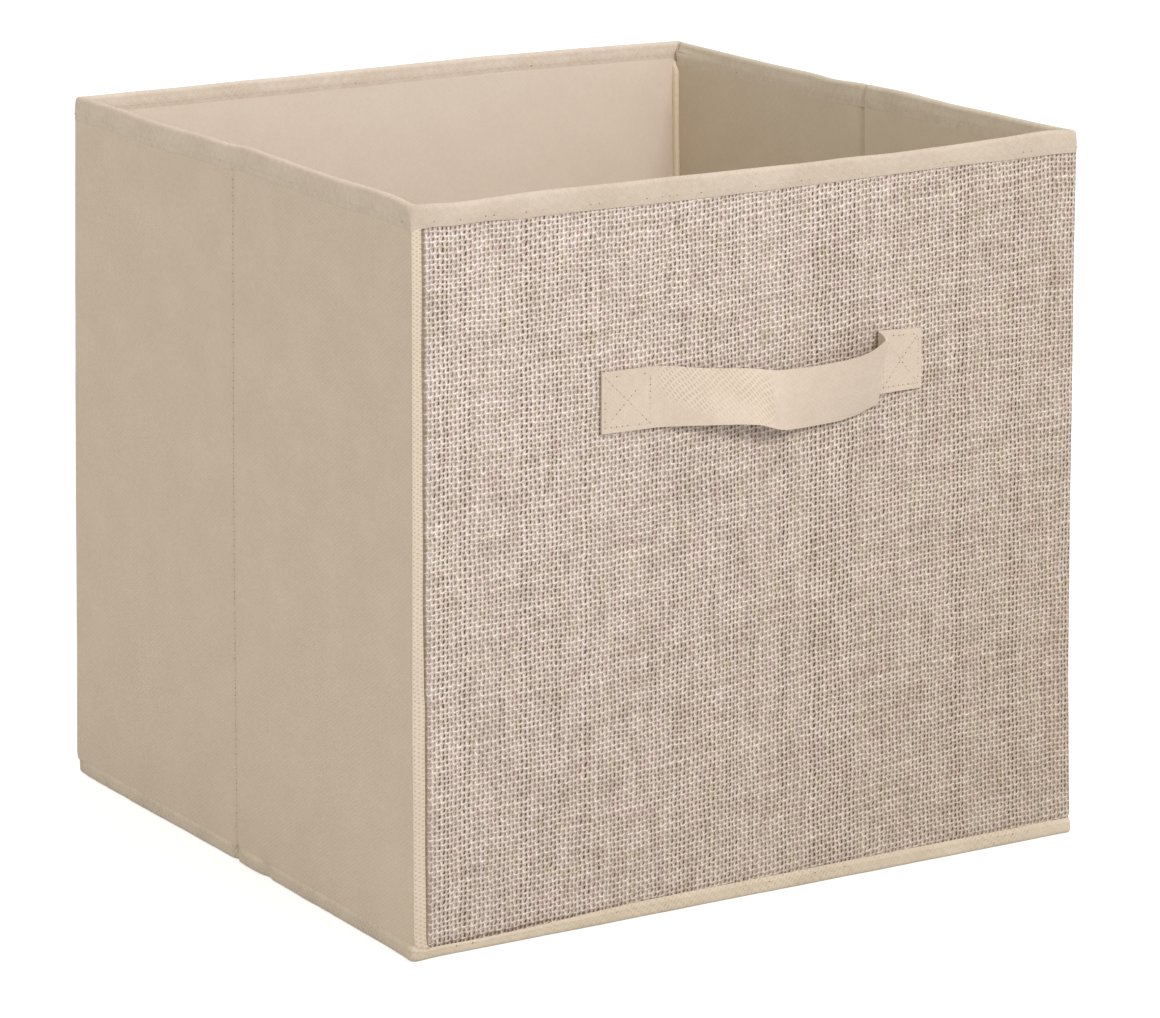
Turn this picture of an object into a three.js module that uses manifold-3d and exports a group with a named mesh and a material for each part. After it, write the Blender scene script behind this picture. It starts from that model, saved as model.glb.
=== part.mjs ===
// Collapsible fabric storage bin: four board-stiffened walls in nonwoven fabric, a woven front cover,
// a bound rim, a bound hem, a pull strap and a loose base insert.
// Millimetres, +Z up. The front, with the strap, faces -Y. The origin is the middle of the whole box, at
// the floor. The two side walls fold inwards at mid depth, so each is two half walls.
import * as THREE from "three";
import { mergeVertices } from "three/addons/utils/BufferGeometryUtils.js";
import Module from "manifold-3d";

const wasm = await Module();
wasm.setup();

// The bin over its rim
const WIDTH = 279;
const DEPTH = 267;
const HEIGHT = 267;

// Materials
const NONWOVEN = 0.6; // one sheet of spunbond fabric
const WOVEN = 0.8; // the burlap-look cloth of the front cover
const BOARD = 2; // wall board
const LAY = 0.3; // clearance between sheets that lie on each other

// Bindings
const RIM_OUTSIDE = 9; // how far the rim binding reaches down the outside
const RIM_INSIDE = 12; // and down the inside
const HEM_HEIGHT = 6; // the bound bottom edge

// Folds and corners
const CORNER_GAP = 0.3; // from a side wall's end to the front or back wall
const FOLD_GAP = 0.3; // from a half wall's end to the fold line
const BOARD_SETBACK = 2.5; // from a half wall's end to its board, where the fabric bends
const SEAM_STANDS = 2; // how far a corner's seam allowance stands out of the corner
const SEAM_THICKNESS = 1.2;
const SEAM_ROOT = 1.1; // from the corner's own line to the seam allowance
const STRIP_RETURN = 4; // how far the corner strip turns on to the front

// Handle strap, measured along the front from its middle
const STRAP_LENGTH = 135;
const STRAP_WIDTH = 23;
const STRAP_THICKNESS = 1.2;
const STRAP_BELOW_RIM = 67; // from the bin's top to the strap's upper edge at its sewn ends
const STRAP_OFF_CENTRE = 2.5;
const SEWN_LEFT = 19; // length that is sewn flat, left and right
const SEWN_RIGHT = 18;
const STRAP_STANDOFF = 8; // how far the slack middle stands off the cover
const STRAP_SAG = 6; // how far it hangs below the sewn ends
const STRAP_PEAK = 0.62; // where along the slack the standoff is largest, from the left
const STRAP_STEPS = 24;

// Base insert
const INSERT_BOARD = 1.6;
const INSERT_COVER = 0.5;
const INSERT_LAY = 0.2; // clearance between the insert's board and its cover
const INSERT_PLAY = 1; // from the insert to the rim's inner side, all round
const INSERT_CORNER = 12; // corner radius
const CORNER_STEPS = 6;

const nonwoven = new THREE.MeshStandardMaterial({ color: 0xcdb9a2, roughness: 0.85, metalness: 0 });
const woven = new THREE.MeshStandardMaterial({ color: 0xc4b1a0, roughness: 0.9, metalness: 0 });
const webbing = new THREE.MeshStandardMaterial({ color: 0xd8c8b2, roughness: 0.8, metalness: 0 });
const cardboard = new THREE.MeshStandardMaterial({ color: 0xa58a66, roughness: 0.95, metalness: 0 });

// Where each sheet of a wall lies, from the bin's outside (0) inwards.
function layers(skinThickness) {
  const skinOut = NONWOVEN + LAY;
  const skinIn = skinOut + skinThickness;
  const boardOut = skinIn + LAY;
  const boardIn = boardOut + BOARD;
  const liningOut = boardIn + LAY;
  const liningIn = liningOut + NONWOVEN;
  const whole = liningIn + LAY + NONWOVEN;
  return { skinOut, skinIn, boardOut, boardIn, liningOut, liningIn, whole };
}

const frontLayers = layers(WOVEN);
const plainLayers = layers(NONWOVEN);
const sideSpan = DEPTH - frontLayers.whole - plainLayers.whole; // between the front and back walls
const wallFoot = HEM_HEIGHT + LAY; // the sheets stand on the hem
const wallTop = HEIGHT - NONWOVEN - LAY; // and end under the rim binding's fold

// A block between low and high limits along each axis.
function block([x0, x1], [y0, y1], [z0, z1]) {
  const geometry = new THREE.BoxGeometry(x1 - x0, y1 - y0, z1 - z0);
  return geometry.translate((x0 + x1) / 2, (y0 + y1) / 2, (z0 + z1) / 2);
}

function solidOf(geometry) {
  const bare = geometry.clone();
  bare.deleteAttribute("normal");
  bare.deleteAttribute("uv");
  const merged = mergeVertices(bare, 1e-4);
  return new wasm.Manifold(
    new wasm.Mesh({
      numProp: 3,
      vertProperties: merged.attributes.position.array,
      triVerts: new Uint32Array(merged.index.array),
    }),
  );
}

function geometryOf(solid) {
  const mesh = solid.getMesh();
  const geometry = new THREE.BufferGeometry();
  geometry.setAttribute("position", new THREE.BufferAttribute(mesh.vertProperties, 3));
  geometry.setIndex(new THREE.BufferAttribute(mesh.triVerts, 1));
  return geometry.toNonIndexed();
}

function cut(geometry, ...tools) {
  const left = tools.reduce((solid, tool) => solid.subtract(solidOf(tool)), solidOf(geometry));
  return geometryOf(left);
}

function piece(name, material, geometry) {
  const mesh = new THREE.Mesh(geometry, material);
  mesh.name = name;
  return mesh;
}

// The rim binding: a sheet folded over the wall's top, shorter outside than inside. A capped one also turns
// round the wall's two ends.
function rimBinding([x0, x1], depth, capped) {
  const end = capped ? NONWOVEN : -1;
  const foot = HEIGHT - RIM_INSIDE;
  const whole = block([x0, x1], [0, depth], [foot, HEIGHT]);
  const channel = block([x0 + end, x1 - end], [NONWOVEN, depth - NONWOVEN], [foot - 1, HEIGHT - NONWOVEN]);
  const shortSide = block([x0 - 1, x1 + 1], [-1, depth - NONWOVEN], [foot - 1, HEIGHT - RIM_OUTSIDE]);
  return cut(whole, channel, shortSide);
}

// The hem: the sheets' folded and sewn lower edges, as wide as the sheets above it.
function hemBar([x0, x1], of) {
  return block([x0, x1], [of.skinOut, of.liningIn], [0, HEM_HEIGHT]);
}

// An end wall lies along its own +X from 0 to WIDTH, with its outer side at y = 0 and the cavity at +Y.
// Its skin turns round the ends named in wraps.
function endWall(name, of, skinName, skinMaterial, wraps) {
  const wall = new THREE.Group();
  const skinThickness = of.skinIn - of.skinOut;
  const inset = of.skinOut;
  const clear = inset + skinThickness + LAY;
  const heights = [wallFoot, wallTop];
  const skinSpan = [wraps.low ? inset : inset + STRIP_RETURN + LAY, wraps.high ? WIDTH - inset : WIDTH - clear];
  const hollow = [wraps.low ? clear - LAY : 0, wraps.high ? WIDTH - clear + LAY : WIDTH];
  const tall = [wallFoot - 1, wallTop + 1];
  const skin = block(skinSpan, [of.skinOut, of.liningIn], heights);
  wall.add(
    piece(`${name}_${skinName}`, skinMaterial, cut(skin, block(hollow, [of.skinIn, DEPTH], tall))),
    piece(`${name}_board`, cardboard, block([clear, WIDTH - clear], [of.boardOut, of.boardIn], heights)),
    piece(`${name}_lining`, nonwoven, block([clear, WIDTH - clear], [of.liningOut, of.liningIn], heights)),
    piece(`${name}_rim`, nonwoven, rimBinding([0, WIDTH], of.whole, true)),
    piece(`${name}_hem`, nonwoven, hemBar([inset, WIDTH - inset], of)),
  );
  return wall;
}

// The nonwoven strip that wraps the front wall's left end and shows beside the woven cover.
function cornerStrip() {
  const of = frontLayers;
  const inset = of.skinOut;
  const strip = block([inset, inset + STRIP_RETURN], [of.skinOut, of.liningIn], [wallFoot, wallTop]);
  const inside = block([inset + NONWOVEN, DEPTH], [of.skinOut + NONWOVEN, DEPTH], [wallFoot - 1, wallTop + 1]);
  return piece("front_left_corner_strip", nonwoven, cut(strip, inside));
}

// Half of a side wall, along its own +X between the two given ends.
function halfWall(name, start, end) {
  const of = plainLayers;
  const heights = [wallFoot, wallTop];
  const boardSpan = [start + BOARD_SETBACK, end - BOARD_SETBACK];
  const half = new THREE.Group();
  half.add(
    piece(`${name}_skin`, nonwoven, block([start, end], [of.skinOut, of.skinIn], heights)),
    piece(`${name}_board`, cardboard, block(boardSpan, [of.boardOut, of.boardIn], heights)),
    piece(`${name}_lining`, nonwoven, block([start, end], [of.liningOut, of.liningIn], heights)),
    piece(`${name}_rim`, nonwoven, rimBinding([start, end], of.whole, false)),
    piece(`${name}_hem`, nonwoven, hemBar([start, end], of)),
  );
  return half;
}

// A side wall's two halves, first the one nearer its own x = 0.
function sideWall(firstName, secondName) {
  const wall = new THREE.Group();
  const middle = sideSpan / 2;
  wall.add(
    halfWall(firstName, CORNER_GAP, middle - FOLD_GAP),
    halfWall(secondName, middle + FOLD_GAP, sideSpan - CORNER_GAP),
  );
  return wall;
}

// How far the strap stands off the cover, at a share u of its slack length.
function strapStandoff(u) {
  const toPeak = u < STRAP_PEAK ? u / STRAP_PEAK : (1 - u) / (1 - STRAP_PEAK);
  return (STRAP_STANDOFF * (1 - Math.cos(Math.PI * toPeak))) / 2;
}

// The strap's outline seen from above, pushed up to its width, then let down in its slack middle.
function handleStrap() {
  const free = STRAP_LENGTH - SEWN_LEFT - SEWN_RIGHT;
  const slack = (x) => THREE.MathUtils.clamp((x - SEWN_LEFT) / free, 0, 1);
  const stations = Array.from({ length: STRAP_STEPS + 1 }, (_, i) => SEWN_LEFT + (free * i) / STRAP_STEPS);
  const along = [0, ...stations, STRAP_LENGTH];
  const inner = along.map((x) => new THREE.Vector2(x, -strapStandoff(slack(x))));
  const outer = inner.map((p) => new THREE.Vector2(p.x, p.y - STRAP_THICKNESS)).reverse();
  const outline = new THREE.Shape([...inner, ...outer]);
  const geometry = new THREE.ExtrudeGeometry(outline, { depth: STRAP_WIDTH, bevelEnabled: false });
  const place = geometry.attributes.position;
  for (let i = 0; i < place.count; i += 1) {
    const sag = STRAP_SAG * Math.sin(Math.PI * slack(place.getX(i))) ** 2;
    place.setZ(i, place.getZ(i) - sag);
  }
  const strap = piece("handle_strap", webbing, geometry);
  const left = WIDTH / 2 + STRAP_OFF_CENTRE - STRAP_LENGTH / 2;
  strap.position.set(left, frontLayers.skinOut - LAY, HEIGHT - STRAP_BELOW_RIM - STRAP_WIDTH);
  return strap;
}

// An inner corner's seam allowance: an upstanding edge that points at the middle of the bin.
function cornerSeam(name, x, y) {
  const heights = [wallFoot, HEIGHT - RIM_INSIDE - LAY];
  const edge = block([SEAM_ROOT, SEAM_ROOT + SEAM_STANDS], [-SEAM_THICKNESS / 2, SEAM_THICKNESS / 2], heights);
  const seam = piece(name, nonwoven, edge);
  seam.position.set(x, y, 0);
  seam.rotation.z = Math.atan2(-Math.sign(y), -Math.sign(x));
  return seam;
}

// A sheet with round corners between z0 and z1.
function roundedSheet(width, depth, radius, z0, z1) {
  const x = width / 2 - radius;
  const y = depth / 2 - radius;
  const outline = new THREE.Shape();
  outline.absarc(x, y, radius, 0, Math.PI / 2);
  outline.absarc(-x, y, radius, Math.PI / 2, Math.PI);
  outline.absarc(-x, -y, radius, Math.PI, 1.5 * Math.PI);
  outline.absarc(x, -y, radius, 1.5 * Math.PI, 2 * Math.PI);
  const sheet = new THREE.ExtrudeGeometry(outline, {
    depth: z1 - z0,
    bevelEnabled: false,
    curveSegments: CORNER_STEPS,
  });
  return sheet.translate(0, 0, z0);
}

// The loose base: a board in a fabric sleeve that is open along its back edge.
function baseInsert(middleY) {
  const width = WIDTH - 2 * plainLayers.whole - 2 * INSERT_PLAY;
  const depth = sideSpan - 2 * INSERT_PLAY;
  const edge = INSERT_COVER + INSERT_LAY;
  const foot = NONWOVEN + LAY;
  const boardFoot = foot + edge;
  const boardTop = boardFoot + INSERT_BOARD;
  const sleeve = roundedSheet(width, depth, INSERT_CORNER, foot, boardTop + edge);
  const inside = roundedSheet(
    width - 2 * INSERT_COVER,
    depth - 2 * INSERT_COVER,
    INSERT_CORNER - INSERT_COVER,
    foot + INSERT_COVER,
    boardTop + INSERT_LAY,
  );
  const mouth = block(
    [INSERT_CORNER - width / 2, width / 2 - INSERT_CORNER],
    [0, depth],
    [foot + INSERT_COVER, boardTop + INSERT_LAY],
  );
  const board = roundedSheet(width - 2 * edge, depth - 2 * edge, INSERT_CORNER - edge, boardFoot, boardTop);
  const insert = new THREE.Group();
  insert.add(
    piece("insert_board", cardboard, board),
    piece("insert_cover", nonwoven, cut(sleeve, inside, mouth)),
  );
  insert.position.y = middleY;
  return insert;
}

// The soft sheet that closes the bottom, between the hems.
function bottomFabric() {
  const x = WIDTH / 2 - plainLayers.liningIn - LAY;
  const front = -DEPTH / 2 + frontLayers.liningIn + LAY;
  const back = DEPTH / 2 - plainLayers.liningIn - LAY;
  return piece("bottom_fabric", nonwoven, block([-x, x], [front, back], [0, NONWOVEN]));
}

const front = endWall("front", frontLayers, "cover", woven, { low: false, high: true });
front.add(cornerStrip(), handleStrap());
front.position.set(-WIDTH / 2, -DEPTH / 2, 0);

const back = endWall("back", plainLayers, "skin", nonwoven, { low: true, high: true });
back.position.set(WIDTH / 2, DEPTH / 2, 0);
back.rotation.z = Math.PI;

const left = sideWall("left_rear", "left_front");
left.position.set(-WIDTH / 2, DEPTH / 2 - plainLayers.whole, 0);
left.rotation.z = -Math.PI / 2;

const right = sideWall("right_front", "right_rear");
right.position.set(WIDTH / 2, -DEPTH / 2 + frontLayers.whole, 0);
right.rotation.z = Math.PI / 2;

const seams = new THREE.Group();
const cornerX = WIDTH / 2 - plainLayers.liningIn;
const cornerFront = -DEPTH / 2 + frontLayers.liningIn;
const cornerBack = DEPTH / 2 - plainLayers.liningIn;
seams.add(
  cornerSeam("corner_seam_front_left", -cornerX, cornerFront),
  cornerSeam("corner_seam_front_right", cornerX, cornerFront),
  cornerSeam("corner_seam_back_left", -cornerX, cornerBack),
  cornerSeam("corner_seam_back_right", cornerX, cornerBack),
);

// The walls are placed round the middle of the rim; the strap in front moves the middle of the whole box.
const proud = STRAP_STANDOFF + STRAP_THICKNESS + LAY - frontLayers.skinOut;
const bin = new THREE.Group();
bin.add(front, back, left, right, seams, bottomFabric());
bin.add(baseInsert((frontLayers.whole - plainLayers.whole) / 2));
bin.position.y = proud / 2;

const object = new THREE.Group();
object.add(bin);

export default object;
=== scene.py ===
# %% [markdown]
# # A fabric storage bin, from its imported frame
# The imported model gives the bin its real sizes and its moving bodies: four walls of board and cloth that fold
# flat, and a loose base. It is loaded first, and every visible piece made here rides on one of its bodies,
# except the pieces held at the bending lines, which stay where they are made.
# Nothing else is read from disk, so the sizes below all come from the frame.

# %% Load the frame
import math
import random

import bpy
import numpy as np
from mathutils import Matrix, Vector, noise


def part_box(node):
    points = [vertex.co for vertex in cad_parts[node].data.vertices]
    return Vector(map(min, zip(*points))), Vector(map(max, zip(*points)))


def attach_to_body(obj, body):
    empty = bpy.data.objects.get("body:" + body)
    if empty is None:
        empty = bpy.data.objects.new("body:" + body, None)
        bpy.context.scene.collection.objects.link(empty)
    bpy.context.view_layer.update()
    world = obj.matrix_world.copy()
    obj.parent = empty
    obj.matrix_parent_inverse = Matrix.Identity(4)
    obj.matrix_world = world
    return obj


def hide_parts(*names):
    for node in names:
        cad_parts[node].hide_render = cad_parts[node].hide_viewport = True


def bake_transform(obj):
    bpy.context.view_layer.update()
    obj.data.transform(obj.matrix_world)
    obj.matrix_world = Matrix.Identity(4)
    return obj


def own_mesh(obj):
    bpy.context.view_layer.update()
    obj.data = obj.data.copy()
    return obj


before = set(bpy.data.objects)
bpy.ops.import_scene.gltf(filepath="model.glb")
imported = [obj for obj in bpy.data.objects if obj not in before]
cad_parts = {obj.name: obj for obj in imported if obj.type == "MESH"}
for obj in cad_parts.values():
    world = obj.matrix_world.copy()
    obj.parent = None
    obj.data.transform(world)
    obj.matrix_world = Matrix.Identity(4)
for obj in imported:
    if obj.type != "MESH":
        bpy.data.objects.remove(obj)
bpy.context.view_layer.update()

MM = 0.001

# %% [markdown]
# ## The outline of the bin
# The rim binding of the front and back walls gives the outline: its outer faces are the largest rectangle of
# the bin. Sheets lie under it at small depths, called insets here. Reading them from the frame keeps every
# visible layer where the solid one is.

# %% Read the outline and the layers
front_rim_low, front_rim_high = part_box("front_rim")
back_rim_low, back_rim_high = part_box("back_rim")
LEFT, RIGHT, TOP = front_rim_low.x, front_rim_high.x, front_rim_high.z
FRONT, BACK = front_rim_low.y, back_rim_high.y
WIDTH, DEPTH = RIGHT - LEFT, BACK - FRONT
MIDDLE_Y = (FRONT + BACK) / 2
FOLD_Y = (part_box("left_front_rim")[1].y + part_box("left_rear_rim")[0].y) / 2

INNER_FRONT, INNER_BACK = front_rim_high.y, back_rim_low.y
INNER_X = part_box("right_front_rim")[0].x
SKIN_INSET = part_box("front_cover")[0].y - FRONT
FRONT_LINING_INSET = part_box("front_lining")[1].y - FRONT
PLAIN_LINING_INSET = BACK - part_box("back_lining")[0].y
HEM_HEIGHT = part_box("front_hem")[1].z
RIM_OUTSIDE = TOP - 258 * MM  # the height of the rim's outer leg
RIM_INSIDE = 6.5 * MM  # and of its inner leg
NONWOVEN = 0.4 * MM  # pressed by its seams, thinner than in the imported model
WOVEN = 0.8 * MM
CLOTH_TOP = TOP - 3 * MM  # where the sheets end, inside the rim's fold
CLOTH_FOOT = 2.2 * MM  # and inside the hem
print("outline", round(WIDTH, 4), "x", round(DEPTH, 4), "fold at y", round(FOLD_Y, 4))

# %% [markdown]
# ## The camera
# The camera comes first, so that everything after it can be looked at from the right place. It stands well
# back, low and to the left, with a long lens: the verticals stay nearly parallel.

# %% Camera
AZIMUTH = math.radians(-31.48)
ELEVATION = math.radians(13.81)
CAMERA_PLACE = (-0.930, -1.528, 0.5567)
LENS = 150.8  # millimetres, on a full-frame sensor
bpy.ops.object.camera_add(location=CAMERA_PLACE)
camera = bpy.context.object
back_way = Vector((
    math.sin(AZIMUTH) * math.cos(ELEVATION),
    -math.cos(AZIMUTH) * math.cos(ELEVATION),
    math.sin(ELEVATION),
))
camera.rotation_mode = "QUATERNION"
camera.rotation_quaternion = (-back_way).to_track_quat("-Z", "Y")
camera.data.sensor_width = 36
camera.data.lens = LENS
bpy.context.scene.camera = camera
print("camera at", tuple(round(c, 3) for c in camera.location))

# %% [markdown]
# ## Going round the bin
# Every wall sheet follows the same outline, only deeper in. So one function turns a distance along the
# outline and an inset into a place, for all of them. The distance starts at the front left corner and runs
# along the front, up the right side, along the back and down the left side.
# The corners are sharp where the boards hold them, and rounder at the rim and at the hem, where cloth alone
# turns the corner.

# %% The outline as a function
STARTS = np.array([[LEFT, FRONT], [RIGHT, FRONT], [RIGHT, BACK], [LEFT, BACK]])
WAYS = np.array([[1, 0], [0, 1], [-1, 0], [0, -1]])
OUTWARDS = np.array([[0, -1], [1, 0], [0, 1], [-1, 0]])
SPANS = np.array([WIDTH, DEPTH, WIDTH, DEPTH])
CORNERS = np.array([0, WIDTH, WIDTH + DEPTH, 2 * WIDTH + DEPTH])
LAP = 2 * (WIDTH + DEPTH)
TIGHTEST = 0.4 * MM

# Corner radii at the hem, along the wall and at the rim: front left, front right, back right, back left
HEM_RADII = np.array([2.6, 2, 3, 3]) * MM
WALL_RADII = np.array([1.2, 1.3, 1.6, 1.8]) * MM
RIM_RADII = np.array([5, 1.6, 2.2, 2.2]) * MM


def smooth(share):
    """0 below 0, 1 above 1, and an even S between."""
    share = np.clip(share, 0, 1)
    return share * share * (3 - 2 * share)


def corner_radius(corner, height):
    rim = smooth((height - (TOP - 8 * MM)) / (8 * MM))
    hem = smooth((9 * MM - height) / (5 * MM))
    wall, top, foot = WALL_RADII[corner], RIM_RADII[corner], HEM_RADII[corner]
    return wall + (top - wall) * rim + (foot - wall) * hem


def outline(along, inset, height):
    """The places (x, y) and the outward directions on the outline, for arrays of the same length."""
    along = np.mod(along, LAP)
    side = np.searchsorted(CORNERS, along, side="right") - 1
    run = along - CORNERS[side]
    left_over = SPANS[side] - run
    way, out, start = WAYS[side], OUTWARDS[side], STARTS[side]
    place = start + way * run[:, None] - out * inset[:, None]
    direction = out.astype(float)
    for turn, gone, corner in ((-1, run, side), (1, left_over, (side + 1) % 4)):
        radius = np.maximum(corner_radius(corner, height), inset + TIGHTEST)
        angle = (1 - np.clip(gone / radius, 0, 1)) * math.pi / 4
        lean = out * np.cos(angle)[:, None] + turn * way * np.sin(angle)[:, None]
        reach = radius if turn < 0 else SPANS[side] - radius
        centre = start + way * reach[:, None] - out * radius[:, None]
        bent = (gone < radius)[:, None]
        place = np.where(bent, centre + lean * (radius - inset)[:, None], place)
        direction = np.where(bent, lean, direction)
    return place, direction


def along_right(y):
    return WIDTH + (y - FRONT)


def along_left(y):
    return 2 * WIDTH + DEPTH + (BACK - y)


print("once round is", round(LAP, 3), "m")

# %% [markdown]
# ## How the bin has settled
# A new bin out of its packet isn't a true box. It stands a little wider at its foot, its side walls bow at
# the fold, its loose rear corners lean in, and the rim rises and dips where the cloth is slack over the
# board. It could be sculpted by hand, piece by piece. Instead, one function moves any point of the box to
# where it really is: every layer goes through it, so layers that lie on each other stay on each other.

# %% How far the bin has settled
SPLAY_LEFT, SPLAY_RIGHT, SPLAY_FRONT, SPLAY_BACK = 3.1 * MM, 4.8 * MM, 1.3 * MM, 2.2 * MM
STRETCH = 1.0025  # the pulled cloth stands a little taller than its boards
RIM_REACH = 70 * MM  # how far down a dip in the rim is felt
LEAN_IN = 2.4 * MM  # how far the loose rear corners lean in at the rim
CORNER_FLARE = 1.0 * MM  # how far the front left corner leans out at the rim
FOLD_BOW = 0.8 * MM  # how far each side's fold has moved to the right
RIGHT_BELLY, LEFT_BELLY = 0.8 * MM, -0.9 * MM  # and how much further at half height

# The front rim's rises and dips, in millimetres: place from the middle, height
FRONT_RIM = [(-139.5, -0.9), (-132, -1.1), (-121, -2.1), (-103, -1.75), (-80, -1.15), (20, -1.3), (48, -1.2),
             (87, -0.3), (108, 0.5), (127, 1.4), (139.5, 0.9)]

# Rises and dips of the other rims: side, place along it from the middle, half width, height
RIM_WAVES = [
    ("left", 64 * MM, 30 * MM, -0.9 * MM),
    ("left", -12 * MM, 20 * MM, 1.0 * MM),
    ("left", 6 * MM, 4 * MM, -0.4 * MM),
    ("left", -38 * MM, 20 * MM, 0.3 * MM),
    ("left", -83 * MM, 25 * MM, -0.5 * MM),
    ("left", -DEPTH / 2, 14 * MM, -0.6 * MM),
    ("right", 0, 6 * MM, 0.2 * MM),
    ("right", 22 * MM, 16 * MM, -1.0 * MM),
    ("right", 50 * MM, 40 * MM, -0.3 * MM),
    ("right", -28 * MM, 24 * MM, 0.5 * MM),
    ("back", 60 * MM, 150 * MM, 1.7 * MM),
]


def curve_through(points, x):
    """A smooth curve through points that never goes past them."""
    known_x, known_y = np.array(points, float).T
    rise = np.diff(known_y) / np.diff(known_x)
    before, after = rise[:-1], rise[1:]
    both = np.where(before * after > 0, before + after, 1)
    slope = np.concatenate([[0], np.where(before * after > 0, 2 * before * after / both, 0), [0]])
    i = np.clip(np.searchsorted(known_x, x) - 1, 0, len(known_x) - 2)
    span = known_x[i + 1] - known_x[i]
    t = np.clip((x - known_x[i]) / span, 0, 1)
    return (
        known_y[i] * (1 + 2 * t) * (1 - t) ** 2
        + known_y[i + 1] * t**2 * (3 - 2 * t)
        + span * t * (1 - t) * (slope[i] * (1 - t) - slope[i + 1] * t)
    )


print("the front rim dips by up to", -min(height for _, height in FRONT_RIM), "mm")

# %% Move points to their settled places
def nearness(share):
    """How much of a point belongs to a side: 1 at the side, falling to 0 well before the middle."""
    return np.clip(share, 0, 1) ** 8


def settle(place):
    """The settled places of an array of points in the box."""
    x, y, z = place.T
    across, deep = x / (WIDTH / 2), (y - MIDDLE_Y) / (DEPTH / 2)
    down = np.clip(1 - z / TOP, 0, 1)
    low = down**1.5  # most walls splay evenly, and the right one flares at its foot
    flared = 0.14 + 0.42 * down + 0.44 * down**6
    by_side = {
        "left": (nearness(-across), y - MIDDLE_Y),
        "right": (nearness(across), y - MIDDLE_Y),
        "front": (nearness(-deep), x),
        "back": (nearness(deep), x),
    }
    middle_height = np.sin(math.pi * np.clip(z / TOP, 0, 1))
    near_left, near_right = by_side["left"][0], by_side["right"][0]
    fold_nearness = np.cos(math.pi / 2 * np.clip(deep, -1, 1)) ** 2
    moved = place.copy()
    moved[:, 0] += np.where(across < 0, across * SPLAY_LEFT * low, across * SPLAY_RIGHT * flared)
    moved[:, 1] += np.where(deep < 0, deep * SPLAY_FRONT, deep * SPLAY_BACK) * low
    moved[:, 0] += near_right * fold_nearness * (FOLD_BOW + RIGHT_BELLY * middle_height)
    moved[:, 0] += near_left * fold_nearness * (FOLD_BOW + LEFT_BELLY * middle_height)
    moved[:, 0] += (near_left - near_right) * LEAN_IN * smooth((deep + 0.2) / 1.2) * (z / TOP) ** 3
    moved[:, 0] -= near_left * by_side["front"][0] * CORNER_FLARE * smooth(z / (100 * MM))
    moved[:, 2] *= STRETCH
    felt = smooth((z - (TOP - RIM_REACH)) / RIM_REACH)
    moved[:, 2] += by_side["front"][0] * curve_through(FRONT_RIM, x / MM) * MM * felt
    for side, middle, half_width, height in RIM_WAVES:
        near, position = by_side[side]
        wave = np.exp(-(((position - middle) / half_width) ** 2) * 2)
        moved[:, 2] += near * wave * height * felt
    return moved


def ripple(place, size, seed):
    """A smooth random value from -1 to 1 at each point, in lumps of that size."""
    shift = Vector((seed, 2 * seed, 3 * seed))
    return np.array([noise.noise(Vector(p) / size + shift) for p in place])


def slack(place):
    """How far the cloth stands off its flat wall, the same for all its layers, so that none pokes through."""
    return 0.14 * MM * (ripple(place, 34 * MM, 3.7) + 0.4 * ripple(place, 11 * MM, 8.1))


print("the foot is wider by", round((SPLAY_LEFT + SPLAY_RIGHT) / MM, 1), "mm")

# %% [markdown]
# ## Cutting and hanging cloth
# Each sheet starts as it would on the cutting table: a flat grid as large as the real cut. Its UV map is the
# flat cut in metres, so a weave has the same scale on every piece and runs on over a seam. Then each vertex
# is moved to its place on the bin, and Solidify gives the sheet its thickness towards its back.

# %% Pick, move and finish a piece
scene = bpy.context.scene
SHARP_ANGLE = math.radians(40)


def deselect_all():
    if bpy.context.object and bpy.context.object.mode != "OBJECT":
        bpy.ops.object.mode_set(mode="OBJECT")
    bpy.ops.object.select_all(action="DESELECT")


def pick(piece):
    deselect_all()
    piece.select_set(True)
    bpy.context.view_layer.objects.active = piece


def points_of(piece):
    flat = np.empty(len(piece.data.vertices) * 3)
    piece.data.vertices.foreach_get("co", flat)
    return flat.reshape(-1, 3)


def put_points(piece, places):
    piece.data.vertices.foreach_set("co", np.asarray(places, float).ravel())
    piece.data.update()


def apply_modifier(piece, kind, **settings):
    pick(piece)
    modifier = piece.modifiers.new(kind.title(), kind)
    for setting, value in settings.items():
        setattr(modifier, setting, value)
    bpy.ops.object.modifier_apply(modifier=modifier.name)


print("sharp edges start at", round(math.degrees(SHARP_ANGLE)), "degrees")

# %% Cut a sheet and hang it
def stations(*marks):
    """Places from each mark to the next: marks are (place, step to the next mark)."""
    found = [marks[0][0]]
    for (start, step), (end, _) in zip(marks, marks[1:]):
        count = max(1, round(abs(end - start) / step))
        found += [start + (end - start) * (i + 1) / count for i in range(count)]
    return np.array(found)


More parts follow.
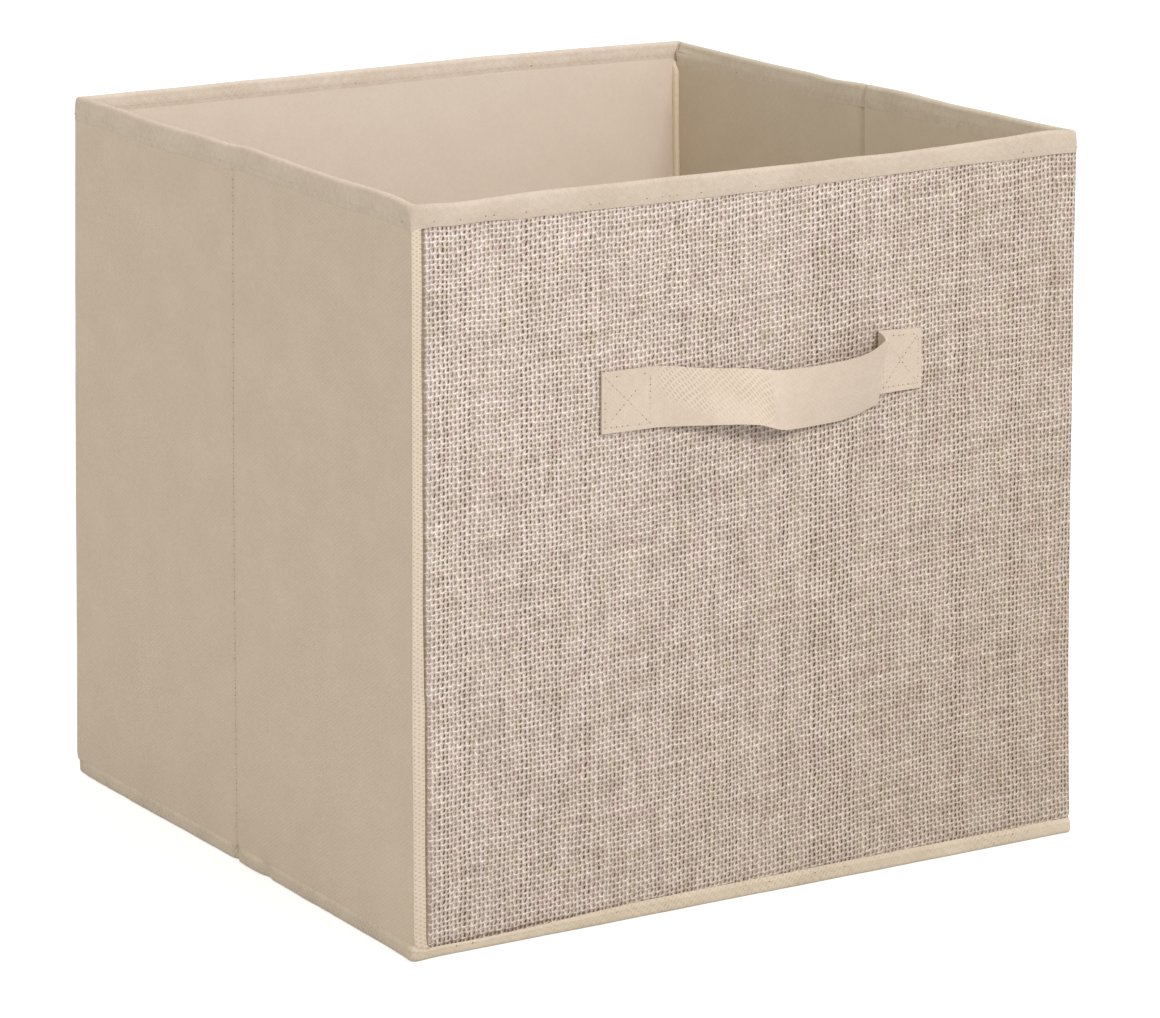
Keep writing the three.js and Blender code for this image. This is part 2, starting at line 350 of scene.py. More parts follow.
def hang_cloth(name, columns, rows, place, thickness, inwards=False):
    """A sheet cut flat with its grid lines at columns and rows, each vertex then moved by place(u, v)."""
    deselect_all()
    bpy.ops.mesh.primitive_grid_add(
        x_subdivisions=len(columns) - 1, y_subdivisions=len(rows) - 1, size=1, calc_uvs=True
    )
    cloth = bpy.context.object
    cloth.name = cloth.data.name = name
    share = points_of(cloth) + 0.5
    u = np.asarray(columns)[np.round(share[:, 0] * (len(columns) - 1)).astype(int)]
    v = np.asarray(rows)[np.round(share[:, 1] * (len(rows) - 1)).astype(int)]
    corner = np.empty(len(cloth.data.loops), int)
    cloth.data.loops.foreach_get("vertex_index", corner)
    cloth.data.uv_layers[0].data.foreach_set("uv", np.column_stack([u, v])[corner].ravel())
    put_points(cloth, place(u, v))
    if inwards:
        bpy.ops.object.mode_set(mode="EDIT")
        bpy.ops.mesh.select_all(action="SELECT")
        bpy.ops.mesh.flip_normals()
        bpy.ops.object.mode_set(mode="OBJECT")
    apply_modifier(cloth, "SOLIDIFY", thickness=thickness, offset=-1, use_even_offset=True)
    pick(cloth)
    bpy.ops.object.shade_smooth_by_angle(angle=SHARP_ANGLE)
    print(name, len(cloth.data.polygons), "faces")
    return cloth


def wall_place(inset_of, slide_of=None):
    """A placing function for a wall sheet: u runs along the outline and v is the height."""

    def place(u, v):
        inset = inset_of(u, v)
        run = u if slide_of is None else u + slide_of(u, v)
        flat, _ = outline(run, inset, v)
        rest = np.column_stack([flat, v])
        _, out = outline(run, np.zeros_like(u), v)
        rest[:, :2] += out * slack(rest)[:, None]
        return settle(rest)

    return place


print("cloth helpers ready")

# %% [markdown]
# ## Tools for the materials
# A material here is a small calculation about each point of the cloth. These helpers keep it readable: one
# for arithmetic, one for noise, one for a soft threshold, two for mixing and tinting colours, and one for
# making a shared node group.

# %% Arithmetic, noise and colour
def colour(red, green, blue):
    """A colour written as 0 to 255, as linear light."""
    def light(level):
        level /= 255
        return level / 12.92 if level <= 0.04045 else ((level + 0.055) / 1.055) ** 2.4

    return (light(red), light(green), light(blue), 1)


def feed(tree, socket, value):
    if isinstance(value, bpy.types.NodeSocket):
        tree.links.new(value, socket)
    else:
        socket.default_value = value


def calculator(tree):
    """Arithmetic in a node tree: calc("ADD", a, b) gives the socket that holds a + b."""

    def calc(operation, *values):
        node = tree.nodes.new("ShaderNodeMath")
        node.operation = operation
        for socket, value in zip(node.inputs, values):
            feed(tree, socket, value)
        return node.outputs[0]

    return calc


def threshold(tree, value, low, high, start=0.0, end=1.0):
    """Goes smoothly from start to end while value goes from low to high."""
    node = tree.nodes.new("ShaderNodeMapRange")
    node.interpolation_type = "SMOOTHSTEP"
    given = {"Value": value, "From Min": low, "From Max": high, "To Min": start, "To Max": end}
    for label, setting in given.items():
        feed(tree, node.inputs[label], setting)
    return node.outputs["Result"]


def noise_at(tree, vector, scale, detail, roughness=0.5, distortion=0.0):
    node = tree.nodes.new("ShaderNodeTexNoise")
    feed(tree, node.inputs["Vector"], vector)
    given = {"Scale": scale, "Detail": detail, "Roughness": roughness, "Distortion": distortion}
    for label, setting in given.items():
        node.inputs[label].default_value = setting
    return node.outputs["Fac"]


def stretched(tree, vector, scale, turn=0.0):
    node = tree.nodes.new("ShaderNodeMapping")
    feed(tree, node.inputs["Vector"], vector)
    node.inputs["Scale"].default_value = scale
    node.inputs["Rotation"].default_value = (0, 0, turn)
    return node.outputs["Vector"]


def vector_of(tree, x, y):
    node = tree.nodes.new("ShaderNodeCombineXYZ")
    for socket, value in zip(node.inputs, (x, y)):
        feed(tree, socket, value)
    return node.outputs["Vector"]


def parts_of(tree, vector):
    node = tree.nodes.new("ShaderNodeSeparateXYZ")
    feed(tree, node.inputs["Vector"], vector)
    return node.outputs["X"], node.outputs["Y"], node.outputs["Z"]


def mix_colour(tree, share, first, second, blend_type="MIX"):
    node = tree.nodes.new("ShaderNodeMix")
    node.data_type = "RGBA"
    node.blend_type = blend_type
    feed(tree, node.inputs["Factor"], share)
    feed(tree, node.inputs[6], first)
    feed(tree, node.inputs[7], second)
    return node.outputs[2]


WHITE = (1, 1, 1, 1)


def multiplied(tree, base, tint):
    """A colour times a tint."""
    return mix_colour(tree, 1.0, base, tint, "MULTIPLY")


print("a grey of 128 is", round(colour(128, 128, 128)[0], 3), "as linear light")

# %% Groups and materials
def new_group(name, inputs, outputs):
    """A shader node group with float or vector sockets: (label, kind, default)."""
    group = bpy.data.node_groups.new(name, "ShaderNodeTree")
    for label, kind, default in inputs:
        socket = group.interface.new_socket(label, in_out="INPUT", socket_type=kind)
        if default is not None:
            socket.default_value = default
    for label in outputs:
        group.interface.new_socket(label, in_out="OUTPUT", socket_type="NodeSocketFloat")
    return group, group.nodes.new("NodeGroupInput"), group.nodes.new("NodeGroupOutput")


def new_material(name, roughness, specular):
    """A material with its Principled BSDF, ready for its nodes."""
    material = bpy.data.materials.new(name)
    material.use_nodes = True
    shader = next(n for n in material.node_tree.nodes if n.type == "BSDF_PRINCIPLED")
    shader.inputs["Roughness"].default_value = roughness
    shader.inputs["Specular IOR Level"].default_value = specular
    return material, material.node_tree, shader


def add_bump(tree, shader, height, distance):
    bump = tree.nodes.new("ShaderNodeBump")
    bump.inputs["Distance"].default_value = distance
    feed(tree, bump.inputs["Height"], height)
    tree.links.new(bump.outputs["Normal"], shader.inputs["Normal"])


def own_uv(tree):
    """The sheet's own flat place, in millimetres."""
    uv = tree.nodes.new("ShaderNodeTexCoord").outputs["UV"]
    scale = tree.nodes.new("ShaderNodeVectorMath")
    scale.operation = "SCALE"
    tree.links.new(uv, scale.inputs[0])
    scale.inputs["Scale"].default_value = 1 / MM
    return scale.outputs["Vector"]


print("node helpers ready")

# %% [markdown]
# ## Nonwoven fabric
# Most of the bin is spunbond nonwoven: a felt of fine fibres, pressed together at a lattice of small points.
# The walls, rims, hems, strap and insert all use it, each with its own strength of embossing, so it is a node
# group. It gives a height for the bump, a tone for the colour, and a mask of the pressed points. The skin,
# the rim and the strap add a few nodes of their own: the skin shows its pressed points more where it is bent
# round the front left corner and is painted paler on the front, the rim is painted paler off the front and on
# the inner leg of the front and back, and the strap's dashes and tone are painted stronger left of its crease.
# These tints are painted light and shade for how each face meets the lamp. The side walls' lining is the
# lining's cloth painted darker: painted shade.

# %% The nonwoven group
EMBOSS_PITCH, EMBOSS_ROW = 2.54, 1.6  # millimetres, between points in a row and between like rows
HATCH_PITCH, HATCH_TURN = 1.35, math.radians(38)  # the fine slanted ribs left by the pressing roller


def build_nonwoven_group():
    inputs = [
        ("Vector", "NodeSocketVector", None),
        ("Emboss", "NodeSocketFloat", 1.0),
        ("Hatch", "NodeSocketFloat", 1.0),
        ("Mottle", "NodeSocketFloat", 1.0),
    ]
    group, given, result = new_group("nonwoven", inputs, ["Height", "Tone", "Pressed"])
    calc = calculator(group)
    vector = given.outputs["Vector"]

    def wave(value, pitch):
        return calc("COSINE", calc("MULTIPLY", value, 2 * math.pi / pitch))

    wander = calc("MULTIPLY", calc("SUBTRACT", noise_at(group, vector, 0.12, 1), 0.5), 1.1)
    x, y, _ = parts_of(group, vector)
    in_row, in_column = wave(calc("ADD", x, wander), EMBOSS_PITCH), wave(calc("ADD", y, wander), EMBOSS_ROW)
    points = calc("MULTIPLY", in_row, in_column)
    points = calc("MULTIPLY", threshold(group, points, 0.25, 0.9), given.outputs["Emboss"])

    slanted_x, slanted_y, _ = parts_of(group, stretched(group, vector, (1, 1, 1), HATCH_TURN))
    ribs = wave(calc("ADD", slanted_x, wander), HATCH_PITCH)
    broken = wave(calc("ADD", slanted_y, calc("MULTIPLY", wander, 2.0)), 2.2)
    ribs = calc("MULTIPLY", threshold(group, ribs, -0.3, 1.0), threshold(group, broken, -1.2, 0.4))
    shown = threshold(group, noise_at(group, vector, 0.03, 2), 0.42, 0.62, 0.25, 1.0)
    ribs = calc("MULTIPLY", calc("MULTIPLY", ribs, shown), given.outputs["Hatch"])
    pressed = calc("MAXIMUM", points, ribs)

    fibres = noise_at(group, stretched(group, vector, (1.6, 0.7, 1), 0.5), 1.3, 3, 0.65, 0.6)
    felt = noise_at(group, vector, 0.45, 3, 0.6)
    clouds = noise_at(group, vector, 0.05, 3, 0.55)
    fuzz = calc("ADD", calc("MULTIPLY", fibres, 0.5), calc("MULTIPLY", felt, 0.4))
    height = calc("SUBTRACT", fuzz, pressed)
    uneven = calc("MULTIPLY", calc("ADD", calc("SUBTRACT", felt, 0.5), calc("SUBTRACT", clouds, 0.5)), 0.9)
    tone = calc("ADD", calc("MULTIPLY", uneven, given.outputs["Mottle"]), calc("MULTIPLY", fibres, 0.35))
    tone = calc("SUBTRACT", calc("ADD", tone, 0.36), calc("MULTIPLY", pressed, 0.4))
    for label, value in (("Height", height), ("Tone", tone), ("Pressed", pressed)):
        group.links.new(value, result.inputs[label])
    return group


nonwoven_group = build_nonwoven_group()
print("nonwoven group has", len(nonwoven_group.nodes), "nodes")

# %% Skin, linings, corner seams and hems
def nonwoven_material(name, dark, light, emboss, hatch, mottle, relief):
    material, tree, shader = new_material(name, roughness=0.88, specular=0.2)
    fabric = tree.nodes.new("ShaderNodeGroup")
    fabric.node_tree = nonwoven_group
    tree.links.new(own_uv(tree), fabric.inputs["Vector"])
    for label, strength in (("Emboss", emboss), ("Hatch", hatch), ("Mottle", mottle)):
        fabric.inputs[label].default_value = strength
    tree.links.new(mix_colour(tree, fabric.outputs["Tone"], dark, light), shader.inputs["Base Color"])
    tree.links.new(threshold(tree, fabric.outputs["Pressed"], 0, 1, 0.92, 0.7), shader.inputs["Roughness"])
    shader.inputs["Sheen Weight"].default_value = 0.08
    shader.inputs["Sheen Roughness"].default_value = 0.5
    add_bump(tree, shader, fabric.outputs["Height"], relief)
    return material


def nonwoven_nodes(material):
    """A nonwoven material's node tree, its fabric node, its colour input, and the colour that feeds it."""
    tree = material.node_tree
    fabric = next(n for n in tree.nodes if n.type == "GROUP")
    base = next(n for n in tree.nodes if n.type == "BSDF_PRINCIPLED").inputs["Base Color"]
    return tree, fabric, base, base.links[0].from_socket


def skin_material():
    """The skin's cloth: its pressed points open up where it is bent round the front left corner, and it is
    painted paler and cooler on the front, as painted light.
    """
    material = nonwoven_material(
        "wall_fabric", colour(195, 175, 150), colour(228, 210, 187),
        emboss=0.5, hatch=0.3, mottle=0.4, relief=0.08 * MM,
    )
    tree, fabric, base, plain = nonwoven_nodes(material)
    along, _, _ = parts_of(tree, own_uv(tree))
    corner = LAP / MM
    tree.links.new(threshold(tree, along, corner - 1.5, corner + 0.5, 0.5, 1.4), fabric.inputs["Emboss"])
    on_front = threshold(tree, along, corner - 1.0, corner + 1.0)
    # Painted light: the skin is tinted paler and cooler where it turns on to the front, the face that meets the
    # lamp.
    painted_front_light = mix_colour(tree, on_front, WHITE, (1.05, 1.07, 1.12, 1))
    tree.links.new(multiplied(tree, plain, painted_front_light), base)
    return material


wall_fabric = skin_material()
lining_fabric = nonwoven_material(
    "lining_fabric", colour(210, 194, 176), colour(241, 227, 213),
    emboss=0.2, hatch=0.15, mottle=0.3, relief=0.05 * MM,
)
# Painted light: the corner seams' edge cloth is painted paler than the linings, for the light on its edge that
# faces the lamp.
painted_light_edge_fabric = nonwoven_material(
    "painted_light_edge_fabric", colour(226, 210, 183), colour(252, 239, 216),
    emboss=0.2, hatch=0.2, mottle=0.4, relief=0.05 * MM,
)
# Painted shade: the side walls' lining is the lining's cloth painted darker, for the shade inside the bin's
# sides.
side_lining_painted_shade = nonwoven_material(
    "side_lining_painted_shade", colour(186, 171, 147), colour(214, 200, 177),
    emboss=0.1, hatch=0.4, mottle=0.4, relief=0.06 * MM,
)
hem_fabric = nonwoven_material(
    "hem_fabric", colour(192, 175, 150), colour(226, 210, 188),
    emboss=0.0, hatch=1.0, mottle=0.8, relief=0.10 * MM,
)
print("wall materials made")

# %% Rim and strap
def rim_material():
    """The binding's cloth, with painted light: a little paler away from the front, and tinted where its inner
    leg starts, paler there at the front and back than on the sides.
    """
    material = nonwoven_material(
        "rim_fabric", colour(186, 169, 149), colour(215, 199, 182),
        emboss=0.35, hatch=0.5, mottle=0.9, relief=0.07 * MM,
    )
    tree, _, base, plain = nonwoven_nodes(material)
    along, up, _ = parts_of(tree, own_uv(tree))
    calc = calculator(tree)

    def between(start, end):
        """1 from start to end along the outline, and 0 elsewhere."""
        middle, reach = (start + end) / 2 / MM, (end - start) / 2 / MM
        away = calc("ABSOLUTE", calc("SUBTRACT", along, middle))
        return threshold(tree, away, reach - 1.0, reach + 1.5, 1.0, 0.0)

    off_front, on_back = between(WIDTH, LAP), between(WIDTH + DEPTH, 2 * WIDTH + DEPTH)
    # Painted light: one binding, tinted paler on the walls away from the front and, on its inner leg, paler at
    # the front and back than on the sides, for the light each part gets.
    outer_leg_painted_light = mix_colour(tree, off_front, WHITE, (1.11, 1.095, 1.07, 1))
    on_side = calc("SUBTRACT", off_front, on_back)
    inner_leg_painted_light = mix_colour(tree, on_side, (1.17, 1.20, 1.25, 1), (1.0, 1.04, 1.01, 1))
    inside = threshold(tree, up, RIM_OUTSIDE / MM + 0.6, RIM_OUTSIDE / MM + 1.6)
    tree.links.new(multiplied(tree, plain, mix_colour(tree, inside, outer_leg_painted_light, inner_leg_painted_light)), base)
    return material


rim_fabric = rim_material()


def strap_material():
    """The strap's cloth: left of its crease its pressed dashes are drawn stronger and the cloth paler, as
    painted light and shade on that slanted flank.
    """
    material = nonwoven_material(
        "strap_fabric", colour(194, 176, 156), colour(225, 208, 191),
        emboss=0.3, hatch=0.0, mottle=0.6, relief=0.07 * MM,
    )
    tree, fabric, base, plain = nonwoven_nodes(material)
    calc = calculator(tree)
    along, up, _ = parts_of(tree, own_uv(tree))
    begins, ends = threshold(tree, along, 20.5, 27.0), threshold(tree, along, 67.0, 70.5, 1.0, 0.0)
    band = calc("MULTIPLY", begins, ends)
    smooth_foot = calc("SUBTRACT", 12.7, calc("MULTIPLY", calc("SUBTRACT", along, 22.0), 0.4))
    band = calc("MULTIPLY", band, threshold(tree, calc("SUBTRACT", up, smooth_foot), -2.5, 3.0))
    tree.links.new(calc("ADD", calc("MULTIPLY", band, 1.6), 0.2), fabric.inputs["Hatch"])
    tree.links.new(vector_of(tree, calc("MULTIPLY", along, -1.0), up), fabric.inputs["Vector"])
    # Painted light and shade: the band left of the crease, above its smooth foot, gets stronger dashes and a
    # paler tint for the slant at which that flank meets the lamp.
    painted_flank_light = mix_colour(tree, band, WHITE, (1.07, 1.07, 1.07, 1))
    tree.links.new(multiplied(tree, plain, painted_flank_light), base)
    return material


strap_fabric = strap_material()
print("rim and strap materials made")

# %% [markdown]
# ## The woven cover's cloth
# The front is a coarse plain weave, like burlap: each warp thread goes over one weft thread and under the
# next. Seen close, every second crossing leaves a tall dark slit, with a cream dash of weft below it and a
# cream stroke of warp to its left, and the crossings between have a shorter slit. The slits' darkness is
# painted shade, and the dashes and strokes are cream threads with a painted highlight on them. The threads
# wander, crowd together and change tint along their length. A modelled weave would need millions of faces,
# so the material works it out from the flat cloth in thread numbers: the whole part of a coordinate says
# which thread it is, and the fraction says where across the thread the point lies.

# %% The woven cloth material
WARP_PITCH, WEFT_PITCH = 1.71, 1.87  # millimetres from thread to thread, across and up


def build_woven_material():
    material, tree, shader = new_material("woven_cloth", roughness=0.9, specular=0.15)
    calc = calculator(tree)
    flat = own_uv(tree)
    across, up, _ = parts_of(tree, flat)

    def centred(value, reach):
        return calc("MULTIPLY", calc("SUBTRACT", value, 0.5), reach)

    # The cloth was cut a little off its grain: its weft climbs to the right, most at the middle.
    swing = calc("SINE", calc("MULTIPLY", calc("SUBTRACT", across, 154.0), 2 * math.pi / 230))
    climb = calc("ADD", calc("MULTIPLY", across, 0.06), calc("MULTIPLY", swing, 1.28))
    climb = calc("SUBTRACT", up, climb)

    crowd_x = centred(noise_at(tree, vector_of(tree, across, 0.0), 0.085, 2), 1.5)
    crowd_y = centred(noise_at(tree, vector_of(tree, 40.0, up), 0.085, 2), 1.2)
    drift_x = centred(noise_at(tree, flat, 0.06, 2), 1.2)
    drift_y = centred(noise_at(tree, stretched(tree, flat, (1, 1, 1), 1.3), 0.07, 2), 1.2)
    shake_x = centred(noise_at(tree, flat, 0.42, 1), 0.42)
    shake_y = centred(noise_at(tree, stretched(tree, flat, (1, 1, 1), 2.1), 0.42, 1), 0.42)
    x = calc("ADD", calc("ADD", calc("DIVIDE", across, WARP_PITCH), crowd_x), calc("ADD", drift_x, shake_x))
    y = calc("ADD", calc("ADD", calc("DIVIDE", climb, WEFT_PITCH), crowd_y), calc("ADD", drift_y, shake_y))
    x, y = calc("ADD", x, 400.0), calc("ADD", y, 400.0)
    column, row = calc("FLOOR", x), calc("FLOOR", y)
    in_x, in_y = calc("FRACT", x), calc("FRACT", y)
    odd = calc("FLOORED_MODULO", calc("ADD", column, row), 2.0)

    def within(value, middle, full, none):
        away = calc("ABSOLUTE", calc("SUBTRACT", value, middle))
        return threshold(tree, away, full, none, 1.0, 0.0)

    # The gaps between threads, darkened by painted shade: tall slits in every second cell, shorter ones in the
    # others.
    leaning = calc("SUBTRACT", in_x, calc("MULTIPLY", calc("SUBTRACT", in_y, 0.5), 0.2))
    tall = calc("MULTIPLY", within(leaning, 0.5, 0.09, 0.28), within(in_y, 0.5, 0.20, 0.42))
    short = calc("MULTIPLY", within(leaning, 0.47, 0.05, 0.25), within(in_y, 0.45, 0.08, 0.34))
    slit = calc("ADD", calc("MULTIPLY", tall, calc("SUBTRACT", 1.0, odd)), calc("MULTIPLY", short, odd))
    # Here and there a few warp threads lie crowded, and the painted shade in the gaps between them is deeper.
    crowded = noise_at(tree, vector_of(tree, across, 70.0), 0.16, 2, 0.6)
    slit = calc("MULTIPLY", slit, threshold(tree, crowded, 0.40, 0.66, 0.85, 1.5))

    # Under each tall slit a weft thread comes to the face, a little bowed, with its two ends the brightest: its
    # cream is lifted by a painted highlight.
    near_row = calc("ROUND", y)
    along = calc("FLOORED_MODULO", calc("ADD", calc("ADD", x, near_row), 0.55), 2.0)
    from_middle = calc("ABSOLUTE", calc("SUBTRACT", along, 1.0))
    bow = calc("SUBTRACT", calc("MULTIPLY", calc("MULTIPLY", from_middle, from_middle), 0.30), 0.05)
    bow = calc("ADD", bow, calc("MULTIPLY", calc("SUBTRACT", along, 1.0), 0.15))
    off_row = calc("SUBTRACT", calc("SUBTRACT", y, near_row), bow)
    on_thread = within(off_row, 0.0, 0.02, 0.19)
    dash = calc("MULTIPLY", on_thread, threshold(tree, from_middle, 0.50, 0.76, 1.0, 0.0))
    knuckle = calc("MULTIPLY", within(off_row, 0.02, 0.03, 0.24), within(from_middle, 0.52, 0.05, 0.26))

    # Left of each tall slit a warp thread comes to the face and leans into the weft thread's end, its cream
    # lifted by a painted highlight.
    near_column = calc("ROUND", calc("ADD", x, 0.08))
    rise = calc("SUBTRACT", calc("FLOORED_MODULO", calc("ADD", calc("ADD", y, near_column), 0.7), 2.0), 0.7)
    lean = calc("ADD", calc("SUBTRACT", x, near_column), calc("MULTIPLY", rise, 0.30))
    stroke = calc("MULTIPLY", within(lean, 0.0, 0.02, 0.17), within(rise, 0.28, 0.26, 0.5))

    # Each thread has its own tint, which changes slowly along it.
    by_warp = vector_of(tree, calc("MULTIPLY", near_column, 7.31), calc("MULTIPLY", up, 0.05))
    by_weft = vector_of(tree, calc("MULTIPLY", across, 0.05), calc("MULTIPLY", near_row, 5.17))
    warp_run, weft_run = noise_at(tree, by_warp, 1.0, 2), noise_at(tree, by_weft, 1.0, 2)
    fibres = noise_at(tree, flat, 1.7, 3, 0.7, 0.8)
    patches = noise_at(tree, flat, 0.30, 2, 0.6)
    level = calc("ADD", 0.46, centred(fibres, 0.55))
    level = calc("ADD", level, calc("ADD", centred(warp_run, 0.34), centred(weft_run, 0.26)))
    # Painted highlight: the dashes, knuckles and strokes brighten the level above the threads' own tint.
    level = calc("ADD", level, calc("MULTIPLY", dash, threshold(tree, weft_run, 0.3, 0.7, 0.20, 0.46)))
    level = calc("ADD", level, calc("MULTIPLY", knuckle, 0.08))
    level = calc("ADD", level, calc("MULTIPLY", stroke, threshold(tree, warp_run, 0.3, 0.7, 0.22, 0.46)))
    # At the corner strip and the hem the cloth dives into its seams, and its slits are blurred at the strip.
    # Painted shade darkens it beside the strip and along the hem, and a painted shadow line fills the tuck
    # under the strip's edge.
    slow, sudden = threshold(tree, up, 200.0, 100.0, 0.0, 0.55), threshold(tree, up, 98.0, 90.0, 0.0, 0.5)
    wider = calc("ADD", slow, sudden)
    from_strip = calc("SUBTRACT", across, wider)
    slit = calc("MULTIPLY", slit, threshold(tree, from_strip, 6.0, 11.0, 0.35, 1.0))
    # Painted shade: the slits darken the level, more in some patches than in others.
    level = calc("SUBTRACT", level, calc("MULTIPLY", slit, threshold(tree, patches, 0.3, 0.7, 0.44, 0.24)))
    ragged = centred(noise_at(tree, flat, 0.5, 2), 1.2)
    level = calc("SUBTRACT", level, threshold(tree, calc("ADD", from_strip, ragged), 5.6, 8.0, 0.06, 0.0))
    hem_line = HEM_HEIGHT / MM
    painted_hem_shade = threshold(tree, calc("ADD", up, ragged), hem_line - 1.0, hem_line + 0.8, 0.2, 0.0)
    level = calc("SUBTRACT", level, painted_hem_shade)
    painted_tuck_shadow = threshold(tree, calc("ADD", from_strip, calc("MULTIPLY", ragged, 0.2)), 5.5, 6.4, 0.75, 0.0)

    ramp = tree.nodes.new("ShaderNodeValToRGB")
    tree.links.new(level, ramp.inputs["Fac"])
    shades = [(0.0, (98, 81, 66)), (0.25, (156, 138, 122)), (0.5, (202, 186, 173)), (1.0, (250, 240, 229))]
    for element, (place, shade) in zip(ramp.color_ramp.elements, (shades[0], shades[-1])):
        element.position, element.color = place, colour(*shade)
    for place, shade in shades[1:-1]:
        ramp.color_ramp.elements.new(place).color = colour(*shade)
    hue = noise_at(tree, stretched(tree, flat, (1.6, 1, 1)), 0.11, 3, 0.6)
    rosy = mix_colour(tree, threshold(tree, hue, 0.52, 0.72), WHITE, (1.02, 0.95, 0.97, 1))
    straw = mix_colour(tree, threshold(tree, hue, 0.48, 0.30), WHITE, (0.98, 0.985, 0.90, 1))
    tinted = multiplied(tree, multiplied(tree, ramp.outputs["Color"], rosy), straw)
    # Painted light: the cloth is tinted paler and cream at the upper left, warmer and deeper at the lower
    # right, a painted fall-off of the lamp's light.
    below_top = calc("MULTIPLY", calc("SUBTRACT", up, 267.0), 0.00142)
    light_falloff = calc("SUBTRACT", calc("MULTIPLY", across, 0.00222), below_top)
    painted_falloff = mix_colour(tree, light_falloff, (1.08, 1.083, 1.125, 1), (0.83, 0.80, 0.757, 1))
    tinted = multiplied(tree, tinted, painted_falloff)
    # Painted shadow: a dark line in the tuck under the corner strip's edge.
    tinted = mix_colour(tree, painted_tuck_shadow, tinted, colour(132, 114, 91))
    tree.links.new(tinted, shader.inputs["Base Color"])
    tree.links.new(threshold(tree, level, 0.2, 0.9, 0.96, 0.82), shader.inputs["Roughness"])
    shader.inputs["Sheen Weight"].default_value = 0.05
    shader.inputs["Sheen Roughness"].default_value = 0.5
    add_bump(tree, shader, level, 0.2 * MM)
    return material


woven_cloth = build_woven_material()
print("woven cloth has", len(woven_cloth.node_tree.nodes), "nodes")

# %% [markdown]
# ## Board and thread
# The boards are plain fibreboard, hidden in the walls. The thread is a thin twisted polyester, painted a
# little darker than the fabric: painted shade where it sinks into it.

# %% Board and thread materials
def build_board_material():
    material, tree, shader = new_material("fibreboard", roughness=0.95, specular=0.15)
    place = tree.nodes.new("ShaderNodeTexCoord").outputs["Object"]
    flecks = noise_at(tree, place, 900, 3, 0.7)
    clouds = noise_at(tree, place, 40, 3)
    calc = calculator(tree)
    tone = calc("ADD", calc("MULTIPLY", flecks, 0.7), calc("MULTIPLY", clouds, 0.3))
    tone = threshold(tree, tone, 0.3, 0.7)
    brown = mix_colour(tree, tone, colour(146, 124, 96), colour(178, 156, 124))
    tree.links.new(brown, shader.inputs["Base Color"])
    tree.links.new(threshold(tree, flecks, 0.2, 0.8, 0.98, 0.86), shader.inputs["Roughness"])
    add_bump(tree, shader, flecks, 0.08 * MM)
    return material


def build_thread_material():
    material, tree, shader = new_material("sewing_thread", roughness=0.6, specular=0.3)
    place = tree.nodes.new("ShaderNodeTexCoord").outputs["Object"]
    twist = noise_at(tree, place, 3500, 1)
    # Painted shade: the thread is coloured a little darker than the cloth it sinks into.
    twisted = mix_colour(tree, twist, colour(186, 166, 142), colour(222, 206, 186))
    tree.links.new(twisted, shader.inputs["Base Color"])
    tree.links.new(threshold(tree, twist, 0.3, 0.7, 0.7, 0.5), shader.inputs["Roughness"])
    add_bump(tree, shader, twist, 0.04 * MM)
    return material


fibreboard = build_board_material()
sewing_thread = build_thread_material()
print("board and thread materials made")

# %% [markdown]
# ## The boards
# Each wall is stiffened by a thin board: one in the front, one in the back and two in each side, with the
# fold between them. A board is a cube at the solid board's size, cut up so that it can follow the settled
# wall, with its top corners clipped so that the rim's cloth can turn round them.

# %% Boards
BOARD_CUTS = 11  # so that it can follow the settled wall
CLIP = 14 * MM  # off its top corners
BOARD_BELOW = 7 * MM  # from the top of the rim to the board's top edge
BOARD_SHORT = 9.5 * MM  # from the wall's end to the board's, so that the cloth can bend round it


def add_block(name, low, high):
    """A cube between two corners, with its size and place in its mesh."""
    deselect_all()
    bpy.ops.mesh.primitive_cube_add(size=1, location=(low + high) / 2)
    block = bpy.context.object
    block.name = block.data.name = name
    block.scale = high - low
    bpy.ops.object.transform_apply(location=True, rotation=True, scale=True)
    return block


def select_edges(piece, wanted):
    """Goes into edit mode with only the edges for which wanted(a, b) is true, a and b being their ends."""
    pick(piece)
    bpy.ops.object.mode_set(mode="EDIT")
    bpy.ops.mesh.select_mode(type="EDGE")
    bpy.ops.mesh.select_all(action="DESELECT")
    bpy.ops.object.mode_set(mode="OBJECT")
    for edge in piece.data.edges:
        edge.select = wanted(*(piece.data.vertices[i].co for i in edge.vertices))
    bpy.ops.object.mode_set(mode="EDIT")


def dress_board(board, body, node):
    board.data.materials.append(fibreboard)
    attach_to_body(board, body)
    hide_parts(node)


def make_board(node, body):
    low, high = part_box(node)
    board = add_block(node.replace("_board", "_stiffener"), low, high)
    thin = 0 if high.x - low.x < high.y - low.y else 1
    select_edges(board, lambda a, b: min(a.z, b.z) > high.z - MM and abs(a[thin] - b[thin]) > MM)
    bpy.ops.mesh.bevel(offset=CLIP, segments=5, affect="EDGES")
    bpy.ops.mesh.select_all(action="SELECT")
    bpy.ops.mesh.subdivide(number_cuts=BOARD_CUTS)
    bpy.ops.object.mode_set(mode="OBJECT")
    points = points_of(board)
    points[:, 2] = np.minimum(points[:, 2], TOP - BOARD_BELOW)
    if thin == 1:
        corner = np.where(points[:, 0] > 0, 1, 0) if "front" in node else np.where(points[:, 0] > 0, 2, 3)
        reach = WIDTH / 2 - np.maximum(corner_radius(corner, points[:, 2]), BOARD_SHORT)
        points[:, 0] = np.clip(points[:, 0], -reach, reach)
    put_points(board, settle(points))
    dress_board(board, body, node)
    return board


